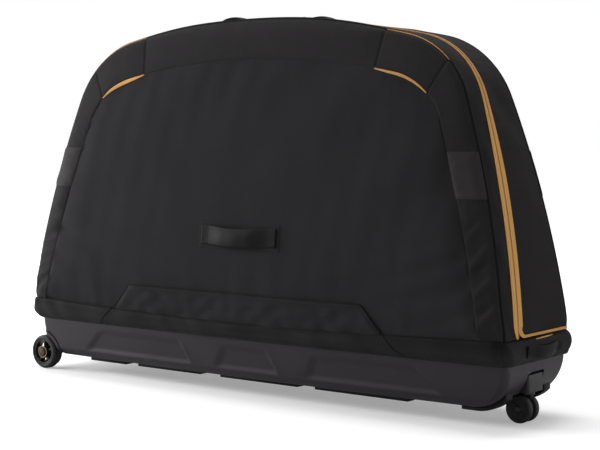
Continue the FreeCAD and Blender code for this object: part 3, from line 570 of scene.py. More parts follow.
def grain_group():
    """Fine moulded grain: small rounded cells with a softer swell beneath."""
    tree, given, out = grouping("moulded_grain", {"Cell": 900.0}, ["Height"])
    cells = feed(tree, "ShaderNodeTexVoronoi", given["Place"], None, given["Cell"]).outputs["Distance"]
    softer = noise(tree, given["Place"], times(tree, given["Cell"], 0.3), 2.0)
    height = maths(tree, "MULTIPLY_ADD", cells, 0.6, times(tree, softer, 0.4))
    tree.links.new(height, out["Height"])
    return tree


weave = weave_group()
ribs = rib_group()
handling = handling_group()
wear = wear_group()
grain = grain_group()


def use(tree, group, place, *values):
    made = tree.nodes.new("ShaderNodeGroup")
    made.node_tree = group
    tree.links.new(place, made.inputs[0])
    for socket, value in zip(list(made.inputs)[1:], values):
        socket.default_value = value
    return made.outputs


def shade(colour, factor):
    return tuple(channel * factor for channel in colour) + (1.0,)


def begin(name):
    material = bpy.data.materials.new(name)
    material.use_nodes = True
    tree = material.node_tree
    tree.nodes.clear()
    surface = tree.nodes.new("ShaderNodeBsdfPrincipled")
    tree.links.new(surface.outputs[0], tree.nodes.new("ShaderNodeOutputMaterial").inputs[0])
    return material, tree, surface


def surfaced(tree, surface, height, strength, distance, values):
    """Sets a surface's inputs and the bump on it."""
    for title, value in values.items():
        plug(tree, surface.inputs[title], value)
    bump = feed(tree, "ShaderNodeBump", strength, distance)
    tree.links.new(height, bump.inputs["Height"])
    tree.links.new(bump.outputs[0], surface.inputs["Normal"])


def cloth_finish(name, colour, pitch, rough, sheen, bump=0.5, dust=0.1, slub=0.35, gloss=0.03, edge_wear_and_painted_shade=None):
    """Woven cloth with uneven threads, handling tone and dust; between the two heights of its last argument
    the colour is darkened, as painted shade.
    """
    material, tree, surface = begin(name)
    coords = feed(tree, "ShaderNodeTexCoord").outputs
    threads = use(tree, weave, coords["UV"], pitch, slub)
    marks = use(tree, handling, coords["Object"], 7.0, dust)
    tone = mixed(tree, threads["Tint"], shade(colour, 0.72), shade(colour, 1.25))
    tone = mixed(tree, times(tree, marks["Tone"], 0.3), tone, shade(colour, 0.75))
    tone = mixed(tree, times(tree, marks["Dust"], 0.5), tone, (0.32, 0.3, 0.28, 1.0))
    # Painted shade: the colour darkens above a height, where a fold of cloth shades the piece.
    if edge_wear_and_painted_shade:
        height = split(tree, coords["UV"])[1]
        tone = mixed(tree, spread(tree, height, *edge_wear_and_painted_shade, 0.0, 0.75), tone, shade(colour, 0.25))
    surfaced(tree, surface, threads["Height"], bump, 0.0004, {
        "Base Color": tone,
        "Roughness": spread(tree, threads["Height"], 0.0, 1.0, rough + 0.1, rough - 0.08),
        "Sheen Weight": sheen,
        "Sheen Roughness": 0.5,
        "Specular IOR Level": gloss,
    })
    return material


def tape_finish(name, colour, rib, pick, rough, sheen, bump=0.7, gloss=0.12):
    """Ribbed tape or webbing."""
    material, tree, surface = begin(name)
    coords = feed(tree, "ShaderNodeTexCoord").outputs
    threads = use(tree, ribs, coords["UV"], rib, pick)
    marks = use(tree, handling, coords["Object"], 25.0, 0.15)
    tone = mixed(tree, threads["Tint"], shade(colour, 0.7), shade(colour, 1.15))
    tone = mixed(tree, times(tree, marks["Tone"], 0.25), tone, shade(colour, 0.8))
    surfaced(tree, surface, threads["Height"], bump, 0.0005, {
        "Base Color": tone,
        "Roughness": spread(tree, threads["Height"], 0.0, 1.0, rough + 0.12, rough - 0.08),
        "Sheen Weight": sheen,
        "Sheen Roughness": 0.45,
        "Specular IOR Level": gloss,
    })
    return material


def moulded_finish(name, colour, rough, cell, bump, worn, pale, metal=0.0, gloss=0.3):
    """Moulded plastic, rubber or metal with fine grain, rubbed edges, scuffs and dust."""
    material, tree, surface = begin(name)
    place = feed(tree, "ShaderNodeTexCoord").outputs["Object"]
    # Real wear on edges, with scuffs.
    edge_wear_and_painted_shade = use(tree, wear, place, worn)
    marks = use(tree, handling, place, 12.0, 0.12)
    fine = use(tree, grain, place, cell)
    tone = mixed(tree, marks["Tone"], shade(colour, 0.9), shade(colour, 1.1))
    tone = mixed(tree, edge_wear_and_painted_shade["Worn"], tone, shade(colour, pale))
    tone = mixed(tree, times(tree, edge_wear_and_painted_shade["Scuff"], 0.12), tone, shade(colour, pale))
    tone = mixed(tree, times(tree, marks["Dust"], 0.4), tone, (0.3, 0.28, 0.26, 1.0))
    uneven = spread(tree, marks["Tone"], 0.0, 1.0, rough - 0.05, rough + 0.08)
    surfaced(tree, surface, fine["Height"], bump, 0.0003, {
        "Base Color": tone,
        "Roughness": plus(tree, uneven, times(tree, edge_wear_and_painted_shade["Scuff"], 0.1)),
        "Metallic": metal,
        "Specular IOR Level": gloss,
    })
    return material


tan = (0.66, 0.345, 0.10)
# Cloth: colour, pitch of the threads, roughness and sheen
panel_cloth = cloth_finish("panel_cloth", (0.0235, 0.0222, 0.0240), 0.0016, 0.8, 0.02)
border_cloth = cloth_finish("border_cloth", (0.0240, 0.0224, 0.0240), 0.0020, 0.8, 0.03, bump=0.6)
gusset_cloth = cloth_finish("gusset_cloth", (0.0205, 0.0188, 0.0196), 0.0020, 0.82, 0.02, bump=0.6)
# The upper part of the collar is darkened in its colour between these heights: painted shade under the
# overhanging panel.
collar_cloth = cloth_finish("collar_cloth", (0.0184, 0.0170, 0.0180), 0.0018, 0.62, 0.02,
                            gloss=0.045, edge_wear_and_painted_shade=(0.036, 0.054))
patch_cloth = cloth_finish("patch_cloth", (0.039, 0.0362, 0.0382), 0.0012, 0.62, 0.01,
                           bump=0.2, dust=0.05, slub=0.2, gloss=0.022)
lining_cloth = cloth_finish("lining_cloth", (0.12, 0.117, 0.122), 0.0012, 0.65, 0.05,
                            bump=0.3, dust=0.05, slub=0.2)
piping_cloth = cloth_finish("piping_cloth", (0.010, 0.0094, 0.010), 0.0012, 0.6, 0.04, bump=0.4)
# Tape, webbing and thread: colour, pitch of ribs and picks, roughness and sheen
strap_web = tape_finish("strap_web", (0.0140, 0.0132, 0.0140), 0.0028, 0.0014, 0.6, 0.02, gloss=0.065)
pull_web = tape_finish("pull_web", (0.0060, 0.0056, 0.0060), 0.0028, 0.0014, 0.5, 0.02, gloss=0.05)
tan_tape = tape_finish("tan_tape", tan, 0.0030, 0.0014, 0.6, 0.1)
tan_cloth = tape_finish("tan_cloth", tan, 0.0016, 0.0016, 0.65, 0.1)
dark_thread = tape_finish("dark_thread", (0.0225, 0.0210, 0.0225), 0.0006, 0.0006, 0.5, 0.05, bump=0.2)
# Moulded and metal pieces: colour, roughness, grain, bump, wear and how pale a worn edge is
tub_plastic = moulded_finish("tub_plastic", (0.0200, 0.0167, 0.0206), 0.42, 800.0, 0.3, 0.55, 2.0, gloss=0.24)
skid_plastic = moulded_finish("skid_plastic", (0.007, 0.0067, 0.007), 0.55, 600.0, 0.3, 0.4, 3.0, gloss=0.14)
hard_plastic = moulded_finish("hard_plastic", (0.009, 0.0083, 0.0086), 0.38, 1100.0, 0.15, 0.4, 2.6)
tyre_rubber = moulded_finish("tyre_rubber", (0.0125, 0.0115, 0.0119), 0.62, 700.0, 0.4, 0.5, 2.6)
wheel_gold = moulded_finish("wheel_gold", (0.36, 0.19, 0.075), 0.4, 1200.0, 0.1, 0.3, 1.3)
housing_plastic = moulded_finish("housing_plastic", (0.0150, 0.0137, 0.0150), 0.42, 1000.0, 0.2, 0.4, 2.2)
dark_steel = moulded_finish("dark_steel", (0.035, 0.034, 0.036), 0.38, 1500.0, 0.1, 0.4, 3.0, metal=0.6)
plated_steel = moulded_finish("plated_steel", (0.5, 0.5, 0.51), 0.3, 1500.0, 0.1, 0.3, 1.3, metal=1.0)
anodised = moulded_finish("anodised", (0.52, 0.53, 0.55), 0.36, 1500.0, 0.15, 0.4, 1.3, metal=1.0)
coil_nylon = moulded_finish("coil_nylon", (0.26, 0.125, 0.036), 0.4, 1500.0, 0.1, 0.2, 1.3)
slider_metal = moulded_finish("slider_metal", (0.055, 0.055, 0.058), 0.3, 1500.0, 0.1, 0.6, 4.0, metal=0.85)
hoop_rod = moulded_finish("hoop_rod", (0.03, 0.03, 0.032), 0.4, 1000.0, 0.15, 0.4, 2.0)


# Lines of the fabric body


class Arch:
    """Tangent arcs over a straight foot, walked from the left foot over to the right."""

    def __init__(self, half, top, crown_round, shoulder_round, side_round, lean):
        lean = math.radians(lean)
        side_x = half - side_round * math.cos(lean)
        side_z = foot - side_round * math.sin(lean)
        top_z = top - crown_round
        first = crown_round - shoulder_round
        second = side_round - shoulder_round
        span = math.hypot(side_x, side_z - top_z)
        along = (first ** 2 - second ** 2 + span ** 2) / (2 * span)
        aside = math.sqrt(first ** 2 - along ** 2)
        x = (along * side_x + aside * (side_z - top_z)) / span
        z = top_z + (along * (side_z - top_z) - aside * side_x) / span
        high = math.atan2(z - top_z, x)
        low = math.atan2(z - side_z, x - side_x)
        base = math.asin((foot - side_z) / side_round)
        right = [(x, z, shoulder_round, high, low), (side_x, side_z, side_round, low, base)]
        left = [(-cx, cz, r, math.pi - end, math.pi - start) for cx, cz, r, start, end in reversed(right)]
        arcs = left + [(0.0, top_z, crown_round, math.pi - high, high)] + right
        self.x, self.z, self.round, self.start, self.end = np.array(arcs).T
        self.steps = np.concatenate(([0], np.cumsum(self.round * abs(self.end - self.start))))
        self.length = float(self.steps[-1])

    def turn(self, distance):
        """Arc number and share for a distance walked from the left foot, also a little past both feet."""
        inside = np.interp(distance, self.steps, np.arange(len(self.steps)))
        before = np.minimum(distance, 0) / self.steps[1]
        after = np.maximum(distance - self.length, 0) / (self.length - self.steps[-2])
        return inside + before + after

    def walk(self, turn):
        """Distance walked to an arc number and share."""
        return np.interp(turn, np.arange(len(self.steps)), self.steps)

    def at(self, turn, inset=0.0):
        arc = np.clip(np.floor(turn).astype(int), 0, len(self.x) - 1)
        angle = self.start[arc] + (turn - arc) * (self.end[arc] - self.start[arc])
        out_x, out_z = np.cos(angle), np.sin(angle)
        reach = self.round[arc] - inset
        return self.x[arc] + reach * out_x, self.z[arc] + reach * out_z, out_x, out_z


body = Arch(half_length, crown, crown_round=2.050, shoulder_round=0.215, side_round=2.270, lean=7.4)
panel = Arch(panel_half, panel_top, crown_round=2.000, shoulder_round=0.160, side_round=3.000, lean=11.0)

# The seams across the border, as turns along an arch of five arcs
diagonal_turn = 1.415
top_turn = 2.068
right_top_turn = 5 - top_turn
right_diagonal_turn = 5 - diagonal_turn
seam_turns = (diagonal_turn, top_turn, right_top_turn, right_diagonal_turn)


def leaning(at_foot, at_crown):
    return lambda z: at_foot + (at_crown - at_foot) * (z - foot) / (crown - foot)


edges = {"front": leaning(-0.152, -0.079), "back": leaning(0.133, 0.082)}
zip_line = leaning(-0.152 + 0.21 * 0.285, -0.079 + 0.46 * 0.161)
valley_sag = {"front": 0.013, "back": 0.0}


def sag(name, x):
    """How far the fold over the collar hangs in the middle."""
    return valley_sag[name] * np.clip(1 - (x / 0.62) ** 2, 0, 1)


def draw_in(name, x, z):
    """How far the front edge lies inside the arch at the caster end, and outside it elsewhere."""
    if name == "back":
        return 0 * x
    right = ease(x, 0.10, 0.42) * (0.006 * ease(z, 0.16, 0.27) - 0.002 * ease(z, 0.60, 0.78))
    left = 0.003 * ease(-x, 0.0, 0.30) * ease(z, 0.22, 0.34)
    middle = 0.004 * (1 - ease(abs(x), 0.18, 0.45)) * ease(z, 0.80, 0.84)
    return right - left - middle


def tape_reach(name, z):
    """Width of a zipper tape, which narrows towards the crown and, on the front, at its foot."""
    wide = (tape_end - tape_start) * (1 - 0.62 * ease(z, 0.48, 0.82))
    if name == "back":
        return wide
    return wide * (0.30 + 0.70 * np.sqrt(ease(z, foot - 0.004, foot + 0.030)))


# Stitches and surfaces that trim is let down on


def stitch_sample(length, thick):
    fresh()
    bpy.ops.mesh.primitive_uv_sphere_add(segments=6, ring_count=4, radius=1)
    sample = bpy.context.object
    put_points(sample, points_of(sample)[:, [2, 0, 1]] * (length / 2, thick, thick * 0.8))
    return sample


thread = stitch_sample(0.0034, 0.0005)
heavy_thread = stitch_sample(0.0042, 0.0008)


def stitched(name, lines, out, sample=thread, pitch=0.0048):
    """Rows of stitches along lines of points; out is the way off the surface for each line."""
    spots, along, off = [], [], []
    for line, away in zip(lines, out):
        place, ahead = even(line, pitch)
        away = np.asarray(away, dtype=float)
        if away.ndim > 1:
            here, there = np.linspace(0, 1, len(place)), np.linspace(0, 1, len(away))
            away = np.stack([np.interp(here, there, away[:, k]) for k in range(3)], -1)
        spots.append(place)
        along.append(ahead)
        off.append(np.broadcast_to(away, place.shape))
    return copies(name, sample, np.concatenate(spots), np.concatenate(along), np.concatenate(off))


def surface_of(piece):
    mesh = piece.data
    return BVHTree.FromPolygons([v.co for v in mesh.vertices], [tuple(f.vertices) for f in mesh.polygons])


def placed(x, y, z):
    """A place of the case as a vector of the scene."""
    return Vector((x + home[0], y + home[1], z))


def settle(surface, x, z, out, lift):
    """Points of the front or back view let down on to a surface, or put on its nearest edge."""
    start, near_face, stop = 0.4, 0.15, 0.36
    points = []
    for px, pz in zip(np.ravel(x), np.ravel(z)):
        hit = surface.ray_cast(placed(px, out * start, pz), Vector((0, -out, 0)), stop)[0]
        if hit is None:
            hit = surface.find_nearest(placed(px, out * near_face, pz))[0]
        points.append(tuple(hit))
    made = np.array(points) - home
    made[:, 1] += out * lift
    return made


# Panels, borders and gussets of both halves

panel_cut = np.array([1.25, 0.60])
border_cut = np.array([body.length, 0.09])
corner_walk = panel.walk(diagonal_turn)
surfaces = {}
patches = {}


def panel_flat(s, t):
    """Front view of the panel: a patch between its straight foot, its sides and its crown."""
    left = panel.at(panel.turn(t * corner_walk))
    right = panel.at(panel.turn(panel.length - t * corner_walk))
    top = panel.at(panel.turn(corner_walk + s * (panel.length - 2 * corner_walk)))
    corner = panel.at(np.array([diagonal_turn]))
    x = (1 - s) * left[0] + s * right[0] + t * (top[0] + (2 * s - 1) * corner[0])
    z = (1 - s) * left[1] + s * right[1] + t * (top[1] - corner[1])
    return x, z


def make_panel(name):
    out = outward[name]
    edge = edges[name]

    def at(u, v):
        s, t = close_edges(u if out < 0 else 1 - u), close_edges(v)
        x, z = panel_flat(s, t)
        drop = 0.006 + sag(name, x)
        z = z - drop * np.exp(-(z - foot) / 0.03)
        tuck = 0.011 * np.exp(-np.clip(z - foot + drop, 0, None) / 0.013)
        crowned = 0.003 * np.sin(np.pi * s) * np.sin(np.pi * t)
        return stack(x, edge(z) + out * (bevel - tuck + crowned), z)

    piece = laid(name + "_panel_pad", 128, 60, at, panel_cut)
    puff(piece, rim_of(*cut_of(piece, panel_cut)), pressure=4.0, cap=0.010)
    subdivide(piece)
    s, t = (close_edges(share) for share in cut_of(piece, panel_cut))
    points = points_of(piece)
    x, z = points[:, 0] - home[0], points[:, 2]
    wide, tall = 1.15, 0.56
    from_left, from_right, from_foot, from_top = s * wide, (1 - s) * wide, t * tall, (1 - t) * tall
    pull = np.zeros(len(points))
    for gap, run, share, seed in (
        (from_left, z, 0.9, 3), (from_right, z, 1.0, 4), (from_top, x, 0.3, 5), (from_foot, x, 0.5, 6),
    ):
        pull += seam_folds(gap, run, 0.0009 * share, 0.036, seed, start=0.004, reach=0.04)
        pull += seam_folds(gap, run + 0.4 * gap, 0.0017 * share, 0.12, seed + 20, start=0.015, reach=0.10)
    low = ease(0.52 - z, 0.0, 0.22)
    for gap, seed in ((from_left, 14), (from_right, 15)):
        pull += seam_folds(gap, z + 0.25 * gap, 0.0031 * low, 0.052, seed, start=0.01, reach=0.13)
    pull += 0.0011 * crumple(x, z * 1.4, 0.24, 9) + 0.0004 * crumple(x, z, 0.09, 10)
    inside = np.minimum.reduce([from_left, from_right, from_foot, from_top])
    points[:, 1] += out * pull * ease(inside, 0.0, 0.006)
    put_points(piece, points)
    surfaces[name + "_panel"] = surface_of(piece)
    pad(piece, 0.006, 0.7, owner[name], "panel_fabric", panel_cloth, name + "_panel")


foot_tuck = 0.009
corner_draw = 1.3


def tucked(z):
    """How far the cloth draws in at its foot, behind the collar."""
    return 0.010 * np.exp(-np.clip(z - foot + foot_tuck, 0, None) / 0.011)


def border_at(name, turn, v):
    """Point on the border: from the panel seam, over the padded face and round to the piping."""
    out = outward[name]
    inner_x, inner_z, _, _ = panel.at(turn)
    outer_x, outer_z, out_x, out_z = body.at(turn)
    inset = draw_in(name, outer_x, outer_z)
    outer_x = outer_x - inset * out_x
    outer_z = outer_z - inset * out_z
    face_end, edge_round, edge_rise = 0.90, 0.004, 0.001
    share = np.clip(v / face_end, 0, 1)
    bend = np.clip((v - face_end) / (1 - face_end), 0, 1)
    near_x = outer_x - edge_round * out_x
    near_z = outer_z - edge_round * out_z
    x = inner_x + (near_x - inner_x) * share
    z = inner_z + (near_z - inner_z) * share
    rise = bevel * (1 - share) + edge_rise * share
    x = x + bend * edge_round * out_x * (2 - bend)
    z = z + bend * edge_round * out_z * (2 - bend)
    y = edges[name](z) + out * rise - out * (edge_rise * bend + border_wrap * bend ** 2)
    corner = ease(v, 0.45, 0.95)
    drawn = tucked(z)
    x = x - corner_draw * drawn * corner * np.sign(x)
    return x, y - out * drawn * (1 + 0.4 * corner), z


def make_border(name):
    out = outward[name]
    steps = 400

    def from_panel(v):
        return v if out < 0 else 1 - v

    def walked(u):
        return u * (body.length + 2 * foot_tuck) - foot_tuck

    def at(u, v):
        return stack(*border_at(name, body.turn(walked(u)), from_panel(v)))

    piece = laid(name + "_border_pad", steps, 14, at, border_cut)
    u, v = cut_of(piece, border_cut)
    seam_walk = [body.walk(turn) for turn in seam_turns]
    held = rim_of(u, v)
    for spot in seam_walk:
        held |= abs(walked(u) - spot) < body.length / steps * 0.6
    puff(piece, held, pressure=4.0, cap=0.006)
    subdivide(piece)
    u, v = cut_of(piece, border_cut)
    v = from_panel(v)
    walk = walked(u)
    z = points_of(piece)[:, 2]
    gap = np.minimum.reduce([abs(walk - spot) for spot in seam_walk])
    upright = 0.35 + 0.65 * ease(0.70 - z, 0.0, 0.12)
    belly = np.sin(np.pi * np.clip(v, 0, 1))
    push = 0.0008 * upright * ripple(walk, 0.034, 31) * np.exp(-v / 0.3) * ease(v, 0.0, 0.1)
    push += 0.0010 * upright * ripple(walk, 0.05, 32) * np.exp(-(1 - v) / 0.3) * ease(1 - v, 0.0, 0.12)
    push += 0.0013 * upright * crumple(walk * 0.6, v * 0.07, 0.11, 33) * belly
    push += 0.0024 * ease(0.52 - z, 0.0, 0.22) * ripple(walk + 0.03 * v, 0.052, 34) * belly
    push -= 0.0016 * hump(gap, 0.0, 0.0032)
    swell(piece, push)
    surfaces[name + "_border"] = surface_of(piece)
    patches[name] = twin(piece, name + "_side_patches")
    pad(piece, 0.0055, 0.6, owner[name], "border_fabric", border_cloth, name + "_border")


def piping_at(name, distance, radius, proud=0.0, ahead=0.0):
    """Line of the piping, its radius and the way off the body."""
    x, z, out_x, out_z = body.at(body.turn(distance))
    sunk, behind_edge = 0.0008, 0.0078
    raised = 0.0020 * ease(x, -0.50, -0.38) if name == "front" else -0.0008
    inset = draw_in(name, x, z) + sunk - raised - proud
    drawn = corner_draw * tucked(z)
    y = edges[name](z) - outward[name] * (behind_edge - ahead + drawn)
    path = stack(x - inset * out_x - drawn * np.sign(x), y, z - inset * out_z)
    return path, radius, stack(out_x, 0 * x, out_z)


def make_piping(name):
    """Dark piping between border and gusset, on the front with a tan length over each shoulder."""
    past = 0.5 * foot_tuck
    distance = np.linspace(-past, body.length + past, 440)
    piece = tube(name + "_piping_cord", *piping_at(name, distance, piping_round))
    dress(piece, owner[name], "piping", piping_cloth, name + "_piping")
    if name == "back":
        return
    tan_lengths = []
    spots = 90
    for first, last in ((diagonal_turn, top_turn), (right_top_turn, right_diagonal_turn)):
        distance = np.linspace(body.walk(first), body.walk(last), spots)
        wide = 0.0003 + 0.0009 * np.sin(np.linspace(0, np.pi, spots)) ** 0.3
        path = piping_at(name, distance, wide, proud=0.0002, ahead=0.0029)
        tan_lengths.append(tube(name + "_tan_length", *path, 8))
    dress(join(name + "_shoulder_edges", tan_lengths), owner[name], "accent_fabric", tan_cloth)


# How far each gusset starts above the foot, how far it puffs, its rows and its width
gusset_sizes = {"front": (0.0, 0.004, 10, 0.04), "back": (0.0056, 0.010, 18, 0.11)}


def make_gusset(name):
    out = outward[name]
    rise, fullness, rows, width = gusset_sizes[name]
    behind_edge, tape_gap = 0.0110, 0.0003

    def at(u, v):
        x, z, out_x, out_z = body.at(body.turn(rise + u * (body.length - 2 * rise)))
        near = edges[name](z) - out * behind_edge
        far = zip_line(z) + out * (tape_start + tape_reach(name, z) + tape_gap)
        share = v if out < 0 else 1 - v
        inset = draw_in(name, x, z) * (1 - share) ** 1.3
        return stack(x - inset * out_x, near + (far - near) * share, z - inset * out_z)

    cut = np.array([body.length, width])
    piece = laid(name + "_gusset_pad", 400, rows, at, cut)
    puff(piece, rim_of(*cut_of(piece, cut)), pressure=4.0, cap=fullness)
    subdivide(piece)
    u, v = cut_of(piece, cut)
    walk = u * body.length
    push = 0.0018 * crumple(walk * 0.8, v * width * 0.5, 0.08, 41 + out) * np.sin(np.pi * v)
    push += 0.0009 * ripple(walk, 0.03, 43) * np.exp(-v / 0.2) * ease(v, 0.0, 0.08)
    push += 0.0009 * ripple(walk, 0.036, 44) * np.exp(-(1 - v) / 0.2) * ease(1 - v, 0.0, 0.08)
    swell(piece, push)
    surfaces[name + "_gusset"] = surface_of(piece)
    pad(piece, 0.005, 0.5, owner[name], "gusset_fabric", gusset_cloth, name + "_gusset")


def tape_profile(share):
    """Raised ribs along a zipper tape."""
    across = ((0.0006, 0.12, 0.07), (0.0008, 0.62, 0.09), (0.0007, 0.95, 0.05))
    return sum(tall * hump(share, middle, width) for tall, middle, width in across)


def make_tape(name):
    """Tan zipper tape along the arch; on the back half it turns at both feet to the back corner."""
    out = outward[name]
    climb = np.linspace(0, body.length, 420)
    _, z, _, _ = body.at(body.turn(climb))
    wide = tape_reach(name, z)
    line = np.stack([climb, zip_line(z) + out * (tape_start + wide / 2)], axis=-1)
    if out > 0:
        run_height, bend, from_corner, narrow, spare = 0.0030, 0.018, 0.0150, 0.34, 0.002
        start_y = line[0, 1]
        far_y = edges[name](foot) - from_corner
        angle = np.linspace(0, np.pi / 2, 12)
        turn_y = start_y + bend - bend * np.sin(angle)
        turn_q = run_height + bend - bend * np.cos(angle)
        curve = np.stack([turn_q, turn_y], axis=-1)
        flat = np.stack([np.full(24, run_height), np.linspace(far_y, start_y + bend, 24)], axis=-1)
        left = np.concatenate([flat[:-1], curve])
        widening = np.linspace(narrow, 1.0, len(curve))
        low_width = wide[0] * np.concatenate([np.full(len(flat) - 1, narrow), widening])
        right = left[::-1].copy()
        right[:, 0] = body.length - right[:, 0]
        clear = run_height + bend + spare
        keep = (climb > clear) & (climb < body.length - clear)
        line = np.concatenate([left, line[keep], right])
        wide = np.concatenate([low_width, wide[keep], low_width[::-1]])
    ahead = np.gradient(line, axis=0)
    ahead /= np.linalg.norm(ahead, axis=1)[:, None]
    aside = np.stack([-ahead[:, 1], ahead[:, 0]], axis=-1)
    rows = len(line) - 1

    def at(u, v):
        spot = np.rint(u * rows).astype(int)
        q = line[spot, 0] + aside[spot, 0] * (v - 0.5) * wide[spot]
        y = line[spot, 1] + aside[spot, 1] * (v - 0.5) * wide[spot]
        x, z, out_x, out_z = body.at(body.turn(np.clip(q, 0, body.length)))
        stand = tape_stand + tape_profile(1 - v if out < 0 else v)
        return stack(x + stand * out_x, y, z + stand * out_z)

    piece = laid(name + "_tape_strip", rows, 14, at, np.array([length_of(line), wide.max()]))
    thicken(piece, 0.0016)
    smooth(piece)
    dress(piece, owner[name], "zipper_tape", (tan_tape, tan_tape), name + "_zipper_tape")


def make_teeth(name):
    tooth, pitch, stand, aside = (0.0005, 0.0009, 0.0007), 0.0018, 0.0017, 0.0008
    start, spare = 0.004, 0.003
    fresh()
    bpy.ops.mesh.primitive_cylinder_add(vertices=8, radius=1, depth=2)
    sample = bpy.context.object
    put_points(sample, points_of(sample)[:, [0, 2, 1]] * tooth)
    walk = np.arange(start, body.length - spare, pitch)
    x, z, out_x, out_z = body.at(body.turn(walk), -stand)
    spots = stack(x, zip_line(z) + outward[name] * aside, z)
    piece = copies(name + "_coil", sample, spots, stack(out_z, 0 * x, -out_x), stack(out_x, 0 * x, out_z))
    scrap(sample)
    dress(piece, owner[name], "zipper_teeth", coil_nylon, name + "_zipper_teeth")


for half in halves:
    make_panel(half)
    make_border(half)
    make_piping(half)
    make_gusset(half)
    make_tape(half)
    make_teeth(half)


# Trim sewn on both halves


def make_accents(name):
    """Tan crescents in the shoulder seams of the panel."""
    out = outward[name]
    ground = surfaces[name + "_panel"]
    first, last = panel.walk(right_top_turn), panel.walk(right_diagonal_turn)
    widest = {-1: 0.0092, 1: 0.0050}
    from_seam, beyond = 0.0012, -0.14
    pieces, lines = [], []
    for side in both_sides:
        def flat(u, v):
            width = widest[side] * np.sin(np.pi * np.clip(u, 0.001, 0.999)) ** 0.75
            x, z, _, _ = panel.at(panel.turn(first + u * (last - first)), from_seam + (1 - v) * width)
            return side * x, z

        def at(u, v):
            return settle(ground, *flat(u, v), out, 0.0004 + 0.0009 * np.sin(np.pi * v))

        piece = laid(f"{name}_accent_{side}", 60, 6, at, np.array([last - first, 0.0115]), (0, out, 0))
        thicken(piece, 0.0012, 1)
        pieces.append(piece)
        run = np.linspace(0.04, 0.96, 60)
        lines.append(settle(ground, *flat(run, run * 0 + beyond), out, 0.0006))
    piece = join(name + "_shoulder_accents", pieces)
    smooth(piece, 50)
    dress(piece, owner[name], "accent_fabric", tan_cloth, name + "_accents")
    return lines


def side_x(arch, z):
    """Half length of an arch at a height on its side."""
    turns = np.linspace(3.6, 5, 200)
    x, heights, _, _ = arch.at(turns)
    return np.interp(-z, -heights, x)


def make_patches(name):
    """Smooth coated patches over the side borders, cut from the border's own shape."""
    high, low = 0.571, 0.474
    piece = patches[name]
    for z, way in ((high, 1), (low, -1)):
        plane = {"plane_co": (0, 0, z), "plane_no": (0, 0, way), "clear_outer": True}
        edit(piece, (bpy.ops.mesh.bisect, plane))
    z = points_of(piece)[:, 2]
    _, v = cut_of(piece, border_cut)
    rim = np.minimum(high - z, z - low)
    across = np.minimum(v, 1 - v)
    lift = 0.0003 + 0.0011 * ease(rim, 0.0, 0.006) * ease(across, 0.0, 0.05)
    lift += 0.0006 * crumple(v * 0.08, z, 0.05, 51) * ease(rim, 0.0, 0.02) * ease(across, 0.05, 0.2)
    swell(piece, lift)
    thicken(piece, 0.0009, 1)
    smooth(piece, 50)
    dress(piece, owner[name], "patch_fabric", patch_cloth, name + "_patches")
    lines = []
    from_edge, spots = 0.004, 24
    for side in both_sides:
        for z in (high - from_edge, low + from_edge):
            level = np.full(spots, z)
            share = np.linspace(0.05, 0.82, spots)
            x = side_x(panel, level) + (side_x(body, level) - side_x(panel, level)) * share
            lines.append(settle(surfaces[name + "_border"], side * x, level, outward[name], 0.0020))
    return lines


def loop_lift(reach, flat_from, ramp_from, lift):
    """How far a webbing loop stands off between its two stitched ends."""
    bowed = 0.12 * lift * np.clip(1 - (reach / ramp_from) ** 2, 0, 1)
    return lift * (1 - ease(reach, ramp_from, flat_from)) + bowed


def stitch_box(x_low, x_high, z_low, z_high):
    """Outline and cross of a stitched box, in a plane."""
    corners = np.array([(x_low, z_low), (x_high, z_low), (x_high, z_high), (x_low, z_high), (x_low, z_low)])
    lines = [np.linspace(corners[k], corners[k + 1], 8) for k in range(4)]
    lines.append(np.linspace(corners[0], corners[2], 10))
    lines.append(np.linspace(corners[1], corners[3], 10))
    return lines


